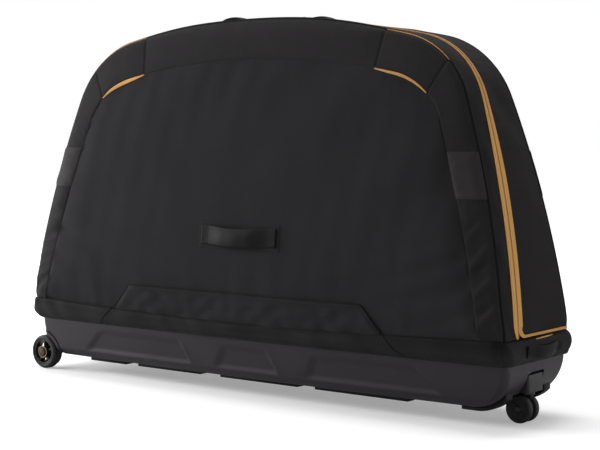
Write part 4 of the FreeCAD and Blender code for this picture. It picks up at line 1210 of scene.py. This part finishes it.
def make_handle(name):
    """Webbing side handle on a backing patch."""
    out = outward[name]
    ground = surfaces[name + "_panel"]
    half, tall, middle = 0.110, 0.042, 0.374
    patch_half, patch_tall = 0.119, 0.062
    seam_half, seam_tall = 0.117, 0.029
    box_near, box_far, box_tall = 0.090, 0.106, 0.017
    end_x, flat_from, ramp_from, most = 0.1, 0.094, 0.026, 0.0165
    strap_lift, box_lift, seam_lift = 0.0017, 0.0036, 0.0016

    def patch(u, v):
        x, z = (2 * u - 1) * patch_half, middle + (v - 0.5) * patch_tall
        rim = np.minimum.reduce([u * 4, (1 - u) * 4, v, 1 - v])
        return settle(ground, x, z, out, 0.0003 + 0.0011 * ease(rim, 0.0, 0.08))

    cut = np.array([2 * patch_half, patch_tall])
    piece = laid(name + "_handle_backing", 64, 20, patch, cut, (0, out, 0))
    smooth(piece)
    dress(piece, owner[name], "panel_fabric", panel_cloth)
    end_z = middle + tall * np.array([-0.5, -0.5, 0.5, 0.5])
    ends = settle(ground, end_x * np.array([-1, 1, -1, 1]), end_z, out, strap_lift)[:, 1]

    def strap(u, v):
        x = (2 * u - 1) * half
        lift = loop_lift(abs(x), flat_from, ramp_from, most)
        raised = lift / most
        z = middle + (v - 0.5) * tall * (1 - 0.10 * raised) - 0.003 * raised * np.sin(np.pi * u)
        low = np.interp(x, (-end_x, end_x), ends[:2])
        high = np.interp(x, (-end_x, end_x), ends[2:])
        y = low + (high - low) * v + out * (lift - 0.006 * raised * (2 * v - 1) ** 2)
        return stack(x, y, z)

    piece = laid(name + "_handle_strap", 72, 12, strap, np.array([2 * half, tall]), (0, out, 0))
    thicken(piece, 0.0034, 1)
    soft_edges(piece, 0.0009)
    smooth(piece, 50)
    dress(piece, owner[name], "webbing", strap_web, name + "_handle")
    lines = []
    slope = (ends[1::2].mean() - ends[::2].mean()) / (2 * end_x)
    for side in both_sides:
        for line in stitch_box(side * box_near, side * box_far, middle - box_tall, middle + box_tall):
            x, z = line.T
            level = np.interp(z, (middle - tall / 2, middle + tall / 2), (ends[:2].mean(), ends[2:].mean()))
            lines.append(stack(x, level + out * box_lift + slope * x, z))
    run = np.linspace(-1, 1, 60)
    for z in (middle - seam_tall, middle + seam_tall):
        lines.append(settle(ground, run * seam_half, run * 0 + z, out, seam_lift))
    for x in (-seam_half, seam_half):
        lines.append(settle(ground, run * 0 + x, middle + run * seam_tall, out, seam_lift))
    return lines


def make_grab(name, centre_x, centre_y):
    """Low webbing loop on the crown."""
    length, wide = 0.112, 0.030
    flat_from, ramp_from, most = 0.040, 0.010, 0.0085
    strap_lift, box_lift = 0.0014, 0.0044
    box_near, box_far, box_half = 0.041, 0.053, 0.011
    spots = centre_x + np.linspace(-0.5, 0.5, 15) * length
    heights = []
    for x in spots:
        hit = surfaces[name + "_gusset"].ray_cast(placed(x, centre_y, 1.0), Vector((0, 0, -1)))[0]
        heights.append(hit.z)
    ground = np.polyfit(spots, heights, 2)

    def strap(u, v):
        x = centre_x + (u - 0.5) * length
        lift = loop_lift(abs(x - centre_x), flat_from, ramp_from, most)
        z = np.polyval(ground, x) + strap_lift + lift - 0.0012 * (2 * v - 1) ** 2 * lift / most
        return stack(x, centre_y + (v - 0.5) * wide, z)

    piece = laid(name + "_grab_strap", 56, 8, strap, np.array([length, wide]), (0, 0, 1))
    thicken(piece, 0.003, 1)
    smooth(piece, 50)
    dress(piece, owner[name], "webbing", strap_web, name + "_grab")
    lines = []
    for side in both_sides:
        near, far = centre_x + side * box_near, centre_x + side * box_far
        for line in stitch_box(near, far, centre_y - box_half, centre_y + box_half):
            lines.append(stack(line[:, 0], line[:, 1], np.polyval(ground, line[:, 0]) + box_lift))
    return lines


def seam_lines(name):
    """Stitching beside the panel seam, across the border seams and along the border edge."""
    runs = []
    walk = np.linspace(0.004, body.length - 0.004, 900)
    for v in (0.09, 0.80):
        runs.append((walk, v))
    across = np.linspace(0.06, 0.78, 24)
    for turn in seam_turns:
        for shift in (-0.006, 0.006):
            runs.append((np.full(len(across), body.walk(turn) + shift), across))
    lines = []
    for distance, v in runs:
        x, _, z = border_at(name, body.turn(distance), v)
        lines.append(settle(surfaces[name + "_border"], x, z, outward[name], 0.0003))
    return lines


for half, grab_x, grab_y in (("front", -0.100, -0.0439), ("back", 0.093, 0.0404)):
    sewn = make_accents(half) + make_patches(half) + seam_lines(half) + make_handle(half)
    rows = [stitched(half + "_face_rows", sewn, [(0, outward[half], 0)] * len(sewn))]
    loops = make_grab(half, grab_x, grab_y)
    rows.append(stitched(half + "_crown_rows", loops, [(0, 0, 1)] * len(loops)))
    dress(join(half + "_stitching", rows), owner[half], "webbing", dark_thread)


# Collar, pocket overlay and pull strap


def outline(length, near, far, bulge, corner, counts):
    """Plan of a rectangle with bowed long sides and round corners, anticlockwise from the front left."""
    middle, wide = (near + far) / 2, (far - near) / 2
    bow = (length ** 2 + bulge ** 2) / (2 * bulge)
    centre = bow - wide - bulge
    reach = length - corner
    corner_y = math.sqrt((bow - corner) ** 2 - reach ** 2) - centre
    share = bow / (bow - corner)
    touch_x, touch_y = share * reach, share * (corner_y + centre) - centre
    sweep = math.asin(touch_x / bow)
    fan = math.atan2(touch_y - corner_y, touch_x - reach)
    along, round_corner, across = counts
    half = []
    angle = np.linspace(-sweep, sweep, along, endpoint=False)
    half.append(np.stack([bow * np.sin(angle), centre - bow * np.cos(angle)], -1))
    angle = np.linspace(-fan, 0, round_corner, endpoint=False)
    half.append(np.stack([reach + corner * np.cos(angle), -corner_y + corner * np.sin(angle)], -1))
    run = np.linspace(-corner_y, corner_y, across, endpoint=False)
    half.append(np.stack([np.full(across, length), run], -1))
    angle = np.linspace(0, fan, round_corner, endpoint=False)
    half.append(np.stack([reach + corner * np.cos(angle), corner_y + corner * np.sin(angle)], -1))
    half = np.concatenate(half)
    return np.concatenate([half, -half]) + (0, middle)


def outward_of(plan):
    ahead = np.roll(plan, -1, axis=0) - np.roll(plan, 1, axis=0)
    away = np.stack([ahead[:, 1], -ahead[:, 0]], -1)
    return away / np.linalg.norm(away, axis=1)[:, None]


collar_counts = (310, 22, 44)
hem_plan = outline(0.6903, -0.1383, 0.1383, 0.012, 0.026, collar_counts)
top_plan = outline(0.691, -0.167, 0.148, 0.002, 0.030, collar_counts)
top_outward = outward_of(top_plan)
collar_columns = len(hem_plan)
# Rise from hem to fold and stand off the line between them, from the hem upwards
collar_shape = np.array([
    (-0.03, -0.006), (0.0, -0.001), (0.10, 0.003), (0.27, 0.0082), (0.45, 0.0082),
    (0.68, 0.0035), (0.88, -0.0025), (1.0, -0.0080), (0.95, -0.0125),
])
collar_steps = np.linspace(0, 1, len(collar_shape))
collar_cut = np.array([length_of(np.vstack([hem_plan, hem_plan[:1]])), 0.075])
corner_seam_x = 0.682


def collar_at(spot, v):
    spot = spot % collar_columns
    rise = np.interp(v, collar_steps, collar_shape[:, 0])
    stand = np.interp(v, collar_steps, collar_shape[:, 1])
    between = (top_plan[spot] - hem_plan[spot]) * np.clip(rise, 0, 1)[:, None]
    x, y = (hem_plan[spot] + between + top_outward[spot] * stand[:, None]).T
    drop = np.where(y < 0, sag("front", x) * ease(-y, 0.10, 0.14), 0)
    return x, y, hem + rise * (foot - hem - drop)


def make_collar():
    def at(u, v):
        return stack(*collar_at(np.rint(u * collar_columns).astype(int), v))

    piece = laid("collar_band", collar_columns, 14, at, collar_cut)
    edit(piece, (bpy.ops.mesh.remove_doubles, {"threshold": 0.0001}))
    _, v = cut_of(piece, collar_cut)
    puff(piece, (v < 0.15) | (v > 0.9), pressure=3.0, cap=0.004)
    subdivide(piece)
    u, v = cut_of(piece, collar_cut)
    points = points_of(piece)
    walk = u * collar_cut[0]
    x, z = points[:, 0] - home[0], points[:, 2]
    belly = ease(v, 0.1, 0.3) * ease(1 - v, 0.05, 0.3)
    push = 0.0016 * crumple(walk * 0.3, z, 0.05, 61) * belly
    push += 0.0007 * ripple(walk + 0.6 * z, 0.045, 62) * belly * ease(ripple(walk, 0.3, 63), 0.0, 0.8)
    push += 0.0005 * ripple(walk, 0.022, 64) * hump(v, 0.16, 0.08)
    push -= 0.0020 * hump(abs(x), corner_seam_x, 0.003) * belly
    swell(piece, push)
    surfaces["collar"] = surface_of(piece)
    nodes = ("front_collar", "back_collar", "wheel_end_collar", "caster_end_collar")
    pad(piece, 0.003, 0.5, "base", "collar_fabric", collar_cloth, *nodes)


def make_collar_stitching():
    """Two rows of hem stitching right round the collar."""
    spots = np.arange(collar_columns + 1)
    away = np.pad(top_outward[spots % collar_columns], ((0, 0), (0, 1)))
    clear, lift = 0.03, 0.0003
    lines = []
    for level in (0.17, 0.24):
        points = []
        for place, way in zip(stack(*collar_at(spots, np.full(len(spots), level))), away):
            hit = surfaces["collar"].ray_cast(placed(*(place + clear * way)), Vector(-way))[0]
            points.append(tuple(placed(*place) if hit is None else hit))
        lines.append(np.array(points) - home + away * lift)
    piece = stitched("collar_stitching", lines, [away, away], heavy_thread, 0.006)
    dress(piece, "base", "collar_fabric", dark_thread)


def make_pocket():
    """Pocket overlay on the front panel, with its seam run on over the collar to the hem."""
    ground = surfaces["front_panel"]
    top, low, top_half, foot_half = 0.241, 0.186, 0.341, 0.392
    bead = 0.0013

    def at(u, v):
        z = low + v * (top - low)
        x = (2 * u - 1) * np.interp(z, (foot, top), (foot_half, top_half))
        z = z - sag("front", x) * (1 - v)
        rim = np.minimum(u, 1 - u) * 0.7
        lift = 0.0010 + 0.0016 * ease(rim, 0.0, 0.012) + 0.0030 * ease(v, 0.78, 1.0) * ease(rim, 0.0, 0.03)
        folds = 0.0005 * ripple(x + 0.5 * z, 0.07, 71) + 0.0010 * crumple(x * 0.7, z * 1.5, 0.06, 72)
        lift = lift + folds * ease(rim, 0.0, 0.02) * ease(1 - v, 0.0, 0.3)
        return settle(ground, x, z, -1, np.clip(lift, 0.0006, None))

    piece = laid("pocket_overlay", 240, 22, at, np.array([0.78, 0.055]), to_front)
    thicken(piece, 0.0016, 1)
    smooth(piece, 60)
    dress(piece, "base", "panel_fabric", panel_cloth, "pocket_flap")
    run, share = np.linspace(0, 1, 160), np.linspace(0, 1, 40)
    bends = (0, 0.08, 0.92, 1)
    x = np.interp(run, bends, (-0.394, -top_half, top_half, 0.394))
    z = np.interp(run, bends, (low, top, top, low))
    beads = [tube("pocket_bead", settle(ground, x, z, -1, 0.0022), bead, to_front, 8)]
    for side in both_sides:
        x, z = side * (0.398 + 0.050 * share), 0.182 - 0.043 * share
        path = settle(surfaces["collar"], x, z, -1, 0.0002)
        beads.append(tube(f"pocket_bead_{side}", path, bead, to_front, 8))
    dress(join("pocket_beading", beads), "base", "piping", piping_cloth)
    rows = []
    x = np.linspace(-0.335, 0.335, 200)
    for drop in (0.007, 0.012):
        rows.append(settle(ground, x, np.full(len(x), top - drop), -1, 0.0052 - 0.1 * drop))
    dress(stitched("pocket_stitching", rows, [to_front] * 2), "base", "panel_fabric", dark_thread)


def make_pull_strap():
    """Webbing pull on the caster end, with a tan line above it."""
    length, wide, low = 0.150, 0.025, 0.1495
    flat_from, ramp_from, most, box_lift = 0.058, 0.014, 0.006, 0.0034
    box_near, box_far, box_in = 0.058, 0.072, 0.004
    lean, past_end = 0.004, 0.75

    def end_of(y, z, lift):
        points = []
        for py, pz in zip(y, z):
            hit = surfaces["collar"].ray_cast(placed(past_end, py, pz), Vector((-1, 0, 0)))[0]
            points.append(tuple(hit))
        return np.array(points) - home + to_caster * lift

    face = end_of((-0.066, 0.066), np.full(2, low + wide / 2), 0.001)[:, 0].mean()

    def strap(u, v):
        y = (u - 0.5) * length
        lift = loop_lift(abs(y), flat_from, ramp_from, most)
        x = face + lift + (v - 0.5) * lean - 0.002 * (2 * v - 1) ** 2 * lift / most
        return stack(x, y, low + v * wide - 0.004 * lift / most)

    piece = laid("pull_webbing", 56, 8, strap, np.array([length, wide]), to_caster)
    thicken(piece, 0.003, 1)
    smooth(piece, 50)
    dress(piece, "base", "webbing", pull_web, "pull_strap")
    lines = []
    for side in both_sides:
        for line in stitch_box(side * box_near, side * box_far, low + box_in, low + wide - box_in):
            y, z = line.T
            lines.append(stack(face + box_lift + (z - low - wide / 2) / wide * lean, y, z))
    dress(stitched("pull_stitching", lines, [to_caster] * len(lines)), "base", "webbing", dark_thread)
    run = np.linspace(0, 1, 40)
    edge = end_of(-0.024 + 0.076 * run, 0.1835 + 0.001 * run, 0.0006)
    thick = 0.0016 * np.sin(np.linspace(0.2, np.pi - 0.2, len(run))) ** 0.4
    piece = tube("collar_tan_edge", edge, thick, to_caster, 8)
    dress(piece, "base", "accent_fabric", tan_cloth)


def make_welt():
    """Bound cord along the fold that the back half turns on."""
    run = np.linspace(-0.572, 0.572, 200)
    path = stack(run, 0.1533, foot + 0.0003 * ripple(run, 0.05, 81))
    piece = tube("hinge_cord", path, 0.0029, to_back)
    dress(piece, "base", "piping", piping_cloth, "hinge_welt")


make_collar()
make_collar_stitching()
make_pocket()
make_pull_strap()
make_welt()


# Moulded tub

tub_half_length = (tub_high.x - tub_low.x) / 2
tub_bow = 0.012
tub_half_width = (tub_high.y - tub_low.y) / 2 - tub_bow
tub_corner = 0.018
tub_bottom = tub_low.z
tub_rim = tub_high.z
tub_wall = 0.005
bow_round = 0.088
stern_round = 0.024
# Heights and insets up the side of the tub
tub_side = np.array([(0.041, 0.045), (0.041, 0.027), (0.056, 0.014), (0.128, 0.0), (0.182, 0.0)])
# Upper and lower ends of the slanting steps in the long sides
ridge_lines = (
    (-0.463, -0.523), (-0.202, -0.172), (-0.062, -0.091), (0.062, 0.091), (0.202, 0.172), (0.463, 0.523),
)
ridge_low, ridge_high = 0.062, 0.116
pressed_low, pressed_high = 0.057, 0.122
wheel_spot = np.array([-0.686, 0.043])
arch_round = 0.061
well_depth = 0.0905
kingpin_x = 0.660
tool_length = 0.2


def side_rows(rows, shrink, top):
    """Heights and insets up the side of the tub, rounded where its flats meet."""
    steps = np.linalg.norm(np.diff(tub_side, axis=0), axis=1)
    reach = np.concatenate(([0], np.cumsum(steps)))
    fine = np.linspace(0, reach[-1], 600)
    blur = 37
    made = []
    for column in tub_side.T:
        values = np.pad(np.interp(fine, reach, column), blur // 2, mode="reflect", reflect_type="odd")
        made.append(np.convolve(values, np.full(blur, 1 / blur), mode="valid"))
    spots = np.linspace(0, len(fine) - 1, rows + 1)
    z, inset = (np.interp(spots, np.arange(len(fine)), values) for values in made)
    z = tub_bottom + shrink + (z - tub_bottom) * (top - tub_bottom - shrink) / (tub_rim - tub_bottom)
    return z, inset + shrink


def pressed(x, z):
    """Shallow panels pressed into the long sides: each falls away softly and ends in a slanting step."""
    share = np.clip((z - ridge_low) / (ridge_high - ridge_low), -0.1, 1.1)
    soft, crisp = 0.014, 0.0055
    depth = np.zeros(x.shape)
    ridge = np.zeros(x.shape)
    for high_x, low_x in ridge_lines:
        past = x - low_x - (high_x - low_x) * share
        if high_x > low_x:
            depth = depth + ease(past, -soft, soft)
        else:
            depth = depth - ease(past, -crisp, crisp)
            ridge = ridge + hump(past, 0.005, 0.006)
    level = ease(z, pressed_low, pressed_low + 0.016) * ease(pressed_high - z, 0.0, 0.018)
    from_wheel = np.hypot(x - wheel_spot[0], z - wheel_spot[1])
    clear = ease(0.604 - x, 0.0, 0.03) * ease(from_wheel, 0.078, 0.092)
    return (0.0013 * ridge - 0.0037 * depth) * level * clear


def end_reach(z, length, radius, shrink):
    """Length of a half of the tub at each height, as a share, where its end curls under."""
    below = np.clip(tub_bottom + radius - z, 0, None)
    reach = np.sqrt(np.clip((radius - shrink) ** 2 - below ** 2, 0, None))
    return (length - (radius - shrink) + reach) / length


def tub_block(name, shrink, top, counts, rows, facets):
    """The tub as a closed block, smaller by an even shrink."""
    z, inset = side_rows(rows, shrink, top)
    length = tub_half_length - shrink
    wide = tub_half_width - inset
    plans = np.array([outline(length, -w, w, tub_bow, tub_corner - shrink, counts) for w in wide])
    right = end_reach(z, length, bow_round, shrink)
    left = end_reach(z, length, stern_round, shrink)
    columns = len(plans[0])

    def at(u, v):
        column = np.rint(u * columns).astype(int) % columns
        row = np.rint(v * rows).astype(int)
        x, y = plans[row, column].T
        x = x * np.where(x > 0, right[row], left[row])
        if facets:
            y = y + np.sign(y) * pressed(x, z[row]) * ease(abs(y), 0.07, 0.09)
        return stack(x, y, z[row])

    piece = laid(name, columns, rows, at, np.array([3.2, 0.2]))
    sew_shut(piece, 0.00002)
    return piece


def bar_tool(radius, place, turn=(0, 0, 0)):
    """Round bar to carve with."""
    fresh()
    bpy.ops.mesh.primitive_cylinder_add(
        vertices=96, radius=radius, depth=tool_length, location=placed(*place), rotation=turn,
    )
    return bpy.context.object


def well_tools(grow):
    """Bars that clear both wheel wells."""
    tools = []
    for side in both_sides:
        place = (wheel_spot[0], side * (well_depth - grow + tool_length / 2), wheel_spot[1])
        tools.append(bar_tool(arch_round + grow, place, (math.pi / 2, 0, 0)))
    return tools


def caster_tools(grow):
    """Round space that the caster swings in and the drafted seat of its housing."""
    swing, swing_top, seat_top = 0.0523, 0.068, 0.1125
    seat_back, seat_half, draft = 0.0241, 0.034, 0.006
    space = bar_tool(swing + grow, (kingpin_x, 0.0, swing_top + grow - tool_length / 2))
    fresh()
    bpy.ops.mesh.primitive_cube_add(size=1)
    seat = bpy.context.object
    shape = points_of(seat) + 0.5
    x = kingpin_x - seat_back - grow + shape[:, 0] * 0.1
    half = (seat_half + grow) + draft * (1 - shape[:, 2])
    put_points(seat, stack(x, (2 * shape[:, 1] - 1) * half, shape[:, 2] * (seat_top + grow)) + home)
    soft_edges(seat, 0.004, 3, 60)
    return [space, seat]


def make_tub():
    cavity = tub_block("cavity", tub_wall, tub_rim + 0.02, (60, 8, 14), 24, False)
    piece = tub_block("moulded_tub", 0.0, tub_rim, (330, 12, 56), 66, True)
    surfaces["tub"] = surface_of(piece)
    for tool in well_tools(tub_wall) + caster_tools(tub_wall):
        carve(cavity, tool)
    carve(piece, cavity)
    for tool in well_tools(0.0) + caster_tools(0.0):
        carve(piece, tool)
    smooth(piece, 32)
    dress(piece, "base", "moulded_plastic", tub_plastic, "base_tub")


def make_arch_bands():
    """Raised bands round both wheel arches, with a fine groove outside them."""
    near, wide, start, from_end = 0.0472, 0.0132, 0.01, 0.0012
    bands = []
    for side in both_sides:
        def at(u, v):
            radius = near + v * wide
            end = np.arccos(np.clip((from_end - tub_half_length - wheel_spot[0]) / radius, -1, 1))
            angle = start + u * (end - start)
            x = wheel_spot[0] + radius * np.cos(angle)
            z = wheel_spot[1] + radius * np.sin(angle)
            lift = 0.0012 - 0.0010 * np.exp(-v / 0.04) - 0.0042 * ease(v, 0.80, 0.86)
            return settle(surfaces["tub"], x, z, side, lift)

        band = laid(f"arch_band_{side}", 48, 24, at, np.array([0.085, 0.013]), (0, side, 0))
        thicken(band, 0.006)
        smooth(band, 40)
        bands.append(band)
    dress(join("arch_bands", bands), "base", "moulded_plastic", tub_plastic)


make_tub()
make_arch_bands()


# Wheels and caster rollers


def middle_of(node):
    """A node's middle, half width and radius."""
    low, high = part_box(node)
    half = np.array(high - low) / 2
    return np.array((low + high) / 2) - home, half[1], half[2]


def bars(name, centre, count, near, far, wide, deep, shift=0.0):
    """Bevelled spokes or ribs between two radii."""
    fresh()
    bpy.ops.mesh.primitive_cube_add(size=1)
    sample = bpy.context.object
    shape = points_of(sample)
    slim = 1 - 0.25 * (shape[:, 0] + 0.5)
    put_points(sample, stack(shape[:, 0] * (far - near), shape[:, 1] * deep, shape[:, 2] * wide * slim))
    soft_edges(sample, 0.16 * wide)
    angle = math.tau * (np.arange(count) + 0.25) / count
    along = stack(np.cos(angle), 0 * angle, np.sin(angle))
    spots = centre + along * (near + far) / 2 + to_back * shift
    piece = copies(name, sample, spots, along, np.cross(along, to_back))
    scrap(sample)
    return piece


def ring_of(near, far, half):
    """Outline of a plain ring between two radii."""
    return [(near, -half), (far, -half), (far, half), (near, half)]


def make_wheel(name):
    centre, wide, big = middle_of(name + "_wheel_tyre")
    rides = "wheel_" + name
    groove, groove_half, groove_edge, shoulder = 0.0012, 0.0016, 0.0024, 0.005
    seat, face, hub, bore = big - 0.010, wide - 0.0015, 0.0158, 0.0056
    tread = [
        (big - groove, -groove_half), (big - groove, groove_half), (big, groove_edge),
        (big, wide - shoulder), (big - 0.004, wide), (seat, wide),
    ]
    tyre = lathe(name + "_tyre", centre, [(r, -d) for r, d in tread[:1:-1]] + tread, 0.0025)
    dress(tyre, rides, "wheel_tyre", tyre_rubber, name + "_wheel_tyre")
    felloe = lathe(name + "_felloe", centre, ring_of(seat - 0.0042, seat - 0.0003, face), 0.0014)
    boss_shape = [(bore, -wide), (hub - 0.002, -wide), (hub, 2 * face / 3), (hub, wide), (bore, wide)]
    boss = lathe(name + "_boss", centre, boss_shape, 0.0012)
    spokes = bars(name + "_spokes", centre, 5, hub - 0.001, seat - 0.003, wide=0.0062, deep=0.015)
    rim = join(name + "_spoked_rim", [felloe, boss, spokes])
    dress(rim, rides, "black_plastic", hard_plastic, name + "_wheel_rim")
    at = centre + to_back * outward[name] * (wide + 0.0008)
    ring = lathe(name + "_hub_ring", at, ring_of(0.0134, 0.0152, 0.0006), 0.0005)
    dress(ring, rides, "wheel_trim", wheel_gold, name + "_wheel_ring")


def make_roller(name):
    out = outward[name]
    centre, wide, big = middle_of(name + "_caster_wheel")
    bore, inner = 0.0043, wide - 0.0030
    face = [
        (bore, -wide), (big - 0.002, -wide), (big, -inner), (big, inner), (big - 0.003, wide), (0.0225, wide),
        (0.0205, inner), (0.0086, inner), (0.0074, wide - 0.0004), (bore, wide - 0.0004),
    ]
    roller = lathe(name + "_roller", centre, [(r, out * d) for r, d in face], 0.0016)
    shift = out * (wide - 0.0022)
    stiffeners = bars(name + "_ribs", centre, 6, 0.0080, 0.0212, wide=0.0030, deep=0.0026, shift=shift)
    piece = join(name + "_caster_roller", [roller, stiffeners])
    dress(piece, "roller_" + name, "wheel_tyre", tyre_rubber, name + "_caster_wheel")


for half in halves:
    make_wheel(half)
    make_roller(half)


# Hardware: the solids' own shapes with their edges broken

bodies = frame["record"]["behaviour"]["bodies"]
body_of = {node: rides for rides, nodes in bodies.items() for node in nodes}


def broken_edges(node, slot, finish, width):
    """A copy of a solid's shape with its sharp edges rounded off."""
    piece = twin(frame["nodes"][node], node + "_finished")
    edit(
        piece,
        (bpy.ops.mesh.remove_doubles, {"threshold": 0.00001}),
        (bpy.ops.mesh.dissolve_limited, {"angle_limit": math.radians(1)}),
    )
    soft_edges(piece, width, 2, 40)
    smooth(piece, 40)
    dress(piece, body_of[node], slot, finish, node)


for slot, finish, widths in (
    ("skid_plastic", skid_plastic, {"skid_strips": 0.0018}),
    ("black_plastic", housing_plastic, {"caster_housing": 0.0025}),
    ("black_plastic", hard_plastic, {
        "caster_yoke": 0.0010, "front_wheel_bracket": 0.0008, "back_wheel_bracket": 0.0008,
        "fork_mount": 0.0012, "frame_cradle": 0.0012,
    }),
    ("steel", dark_steel, {"caster_axle": 0.0004, "front_wheel_axle": 0.0006, "back_wheel_axle": 0.0006}),
    ("steel", plated_steel, {"bracket_rivets": 0.0006, "rail_bolts": 0.0005}),
    ("rail_aluminium", anodised, {"floor_rail": 0.0006, "fork_barrel": 0.0006, "clamp_lever": 0.0008}),
    ("hoop_glassfibre", hoop_rod, {"front_hoop": 0.0008, "back_hoop": 0.0008}),
    ("zipper_metal", slider_metal, {
        "left_slider": 0.0005, "right_slider": 0.0005, "left_pull": 0.0004, "right_pull": 0.0004,
    }),
):
    for node, width in widths.items():
        broken_edges(node, slot, finish, width)

# The caster housing is drawn in and lowered a little towards its top.
housing = bpy.data.objects["caster_housing_finished"]
shape = points_of(housing)
raised = ease(shape[:, 2], 0.085, 0.111)
shape[:, 1] = home[1] + (shape[:, 1] - home[1]) * (1 - 0.05 * raised)
shape[:, 2] -= 0.004 * raised
put_points(housing, shape)

# The front hoop gives way where the cloth is drawn in over the shoulders.
hoop = bpy.data.objects["front_hoop_finished"]
shape = points_of(hoop) - home
x, z = shape[:, 0], shape[:, 2]
give = ease(z, 0.45, 0.75) * (0.003 * ease(abs(x), 0.15, 0.45) + 0.006 * ease(x, -0.05, 0.30))
inward = stack(-x, 0 * x, 0.40 - z)
put_points(hoop, shape + inward / np.linalg.norm(inward, axis=1)[:, None] * give[:, None] + home)

kingpin = frame["nodes"]["caster_kingpin"]
kingpin.data.materials.clear()
kingpin.data.materials.append(plated_steel)


# Floor, light and camera

scrap(thread)
scrap(heavy_thread)

fresh()
bpy.ops.mesh.primitive_plane_add(size=60, location=(0, 0, 0))
floor = bpy.context.object
floor.name = "studio_floor"
floor_paper, tree, surface = begin("floor_paper")
surface.inputs["Roughness"].default_value = 0.9
surface.inputs["Specular IOR Level"].default_value = 0.1
place = feed(tree, "ShaderNodeTexCoord").outputs["Object"]
paper = mixed(tree, noise(tree, place, 3.0), (0.80, 0.80, 0.80, 1), (0.82, 0.82, 0.82, 1))
tree.links.new(paper, surface.inputs["Base Color"])


def past(tree, spot, half):
    """How far a place on the floor lies past half a length or width."""
    return maths(tree, "MAXIMUM", maths(tree, "SUBTRACT", maths(tree, "ABSOLUTE", spot), half), 0.0)


# The camera sees the floor glow; the glow is weaker under and close to the case, a painted shadow.
spot = split(tree, place)
shade_half_length, shade_half_width = 0.64, 0.10
past_end = past(tree, spot[0], shade_half_length)
past_side = past(tree, spot[1], shade_half_width)
squares = plus(tree, times(tree, past_end, past_end), times(tree, past_side, past_side))
clear = maths(tree, "SQRT", squares)
away = feed(tree, "ShaderNodeVectorMath", place, operation="LENGTH").outputs["Value"]
near_glow_with_painted_shadow = spread(tree, clear, 0.0, 0.30, 0.32, 0.50)
glow = plus(tree, near_glow_with_painted_shadow, spread(tree, away, 0.8, 4.0, 0.0, 0.36))
seen = feed(tree, "ShaderNodeLightPath").outputs["Is Camera Ray"]
glow = feed(tree, "ShaderNodeEmission", (1, 1, 1, 1), times(tree, seen, glow))
both = feed(tree, "ShaderNodeAddShader", surface.outputs[0], glow.outputs[0])
tree.links.new(both.outputs[0], tree.nodes["Material Output"].inputs[0])
floor.data.materials.append(floor_paper)

# The sky is white where it is seen or mirrored, and dim as a light.
world = bpy.data.worlds.new("studio")
bpy.context.scene.world = world
world.use_nodes = True
tree = world.node_tree
tree.nodes.clear()
paths = feed(tree, "ShaderNodeLightPath").outputs
seen = maths(tree, "MAXIMUM", paths["Is Camera Ray"], paths["Is Glossy Ray"])
seen = maths(tree, "MAXIMUM", seen, paths["Is Transmission Ray"])
sky = feed(tree, "ShaderNodeBackground", (1, 1, 1, 1), spread(tree, seen, 0.0, 1.0, 0.20, 1.0))
tree.links.new(sky.outputs[0], tree.nodes.new("ShaderNodeOutputWorld").inputs[0])


def lamp(name, place, aim, size, power):
    data = bpy.data.lights.new(name, "AREA")
    data.shape = "RECTANGLE"
    data.size, data.size_y = size
    data.energy = power
    made = bpy.data.objects.new(name, data)
    bpy.context.scene.collection.objects.link(made)
    made.location = place
    made.rotation_euler = (Vector(aim) - Vector(place)).to_track_quat("-Z", "Y").to_euler()


lamp("key", (-2.7, -2.6, 2.4), (-0.1, 0, 0.4), (2.2, 2.0), 84)
lamp("wheel_end", (-3.3, -0.75, 0.75), (-0.6, 0, 0.45), (1.2, 1.2), 82)
lamp("top", (-0.3, 0.6, 3.6), (0, 0, 0.4), (3.0, 2.0), 96)
lamp("end", (3.6, 0.9, 0.5), (0.5, 0, 0.1), (1.4, 0.8), 24)

lens = bpy.data.cameras.new("photo_camera")
lens.sensor_width = 36
lens.lens = 90.5
lens.clip_end = 100
camera = bpy.data.objects.new("photo_camera", lens)
bpy.context.scene.collection.objects.link(camera)
camera_tilt, camera_turn = 3.72, 37.495
camera.location = placed(2.193, -2.785, 0.622)
camera.rotation_euler = (math.radians(90 - camera_tilt), 0, math.radians(camera_turn))
bpy.context.scene.camera = camera
bpy.context.scene.view_settings.view_transform = "Standard"
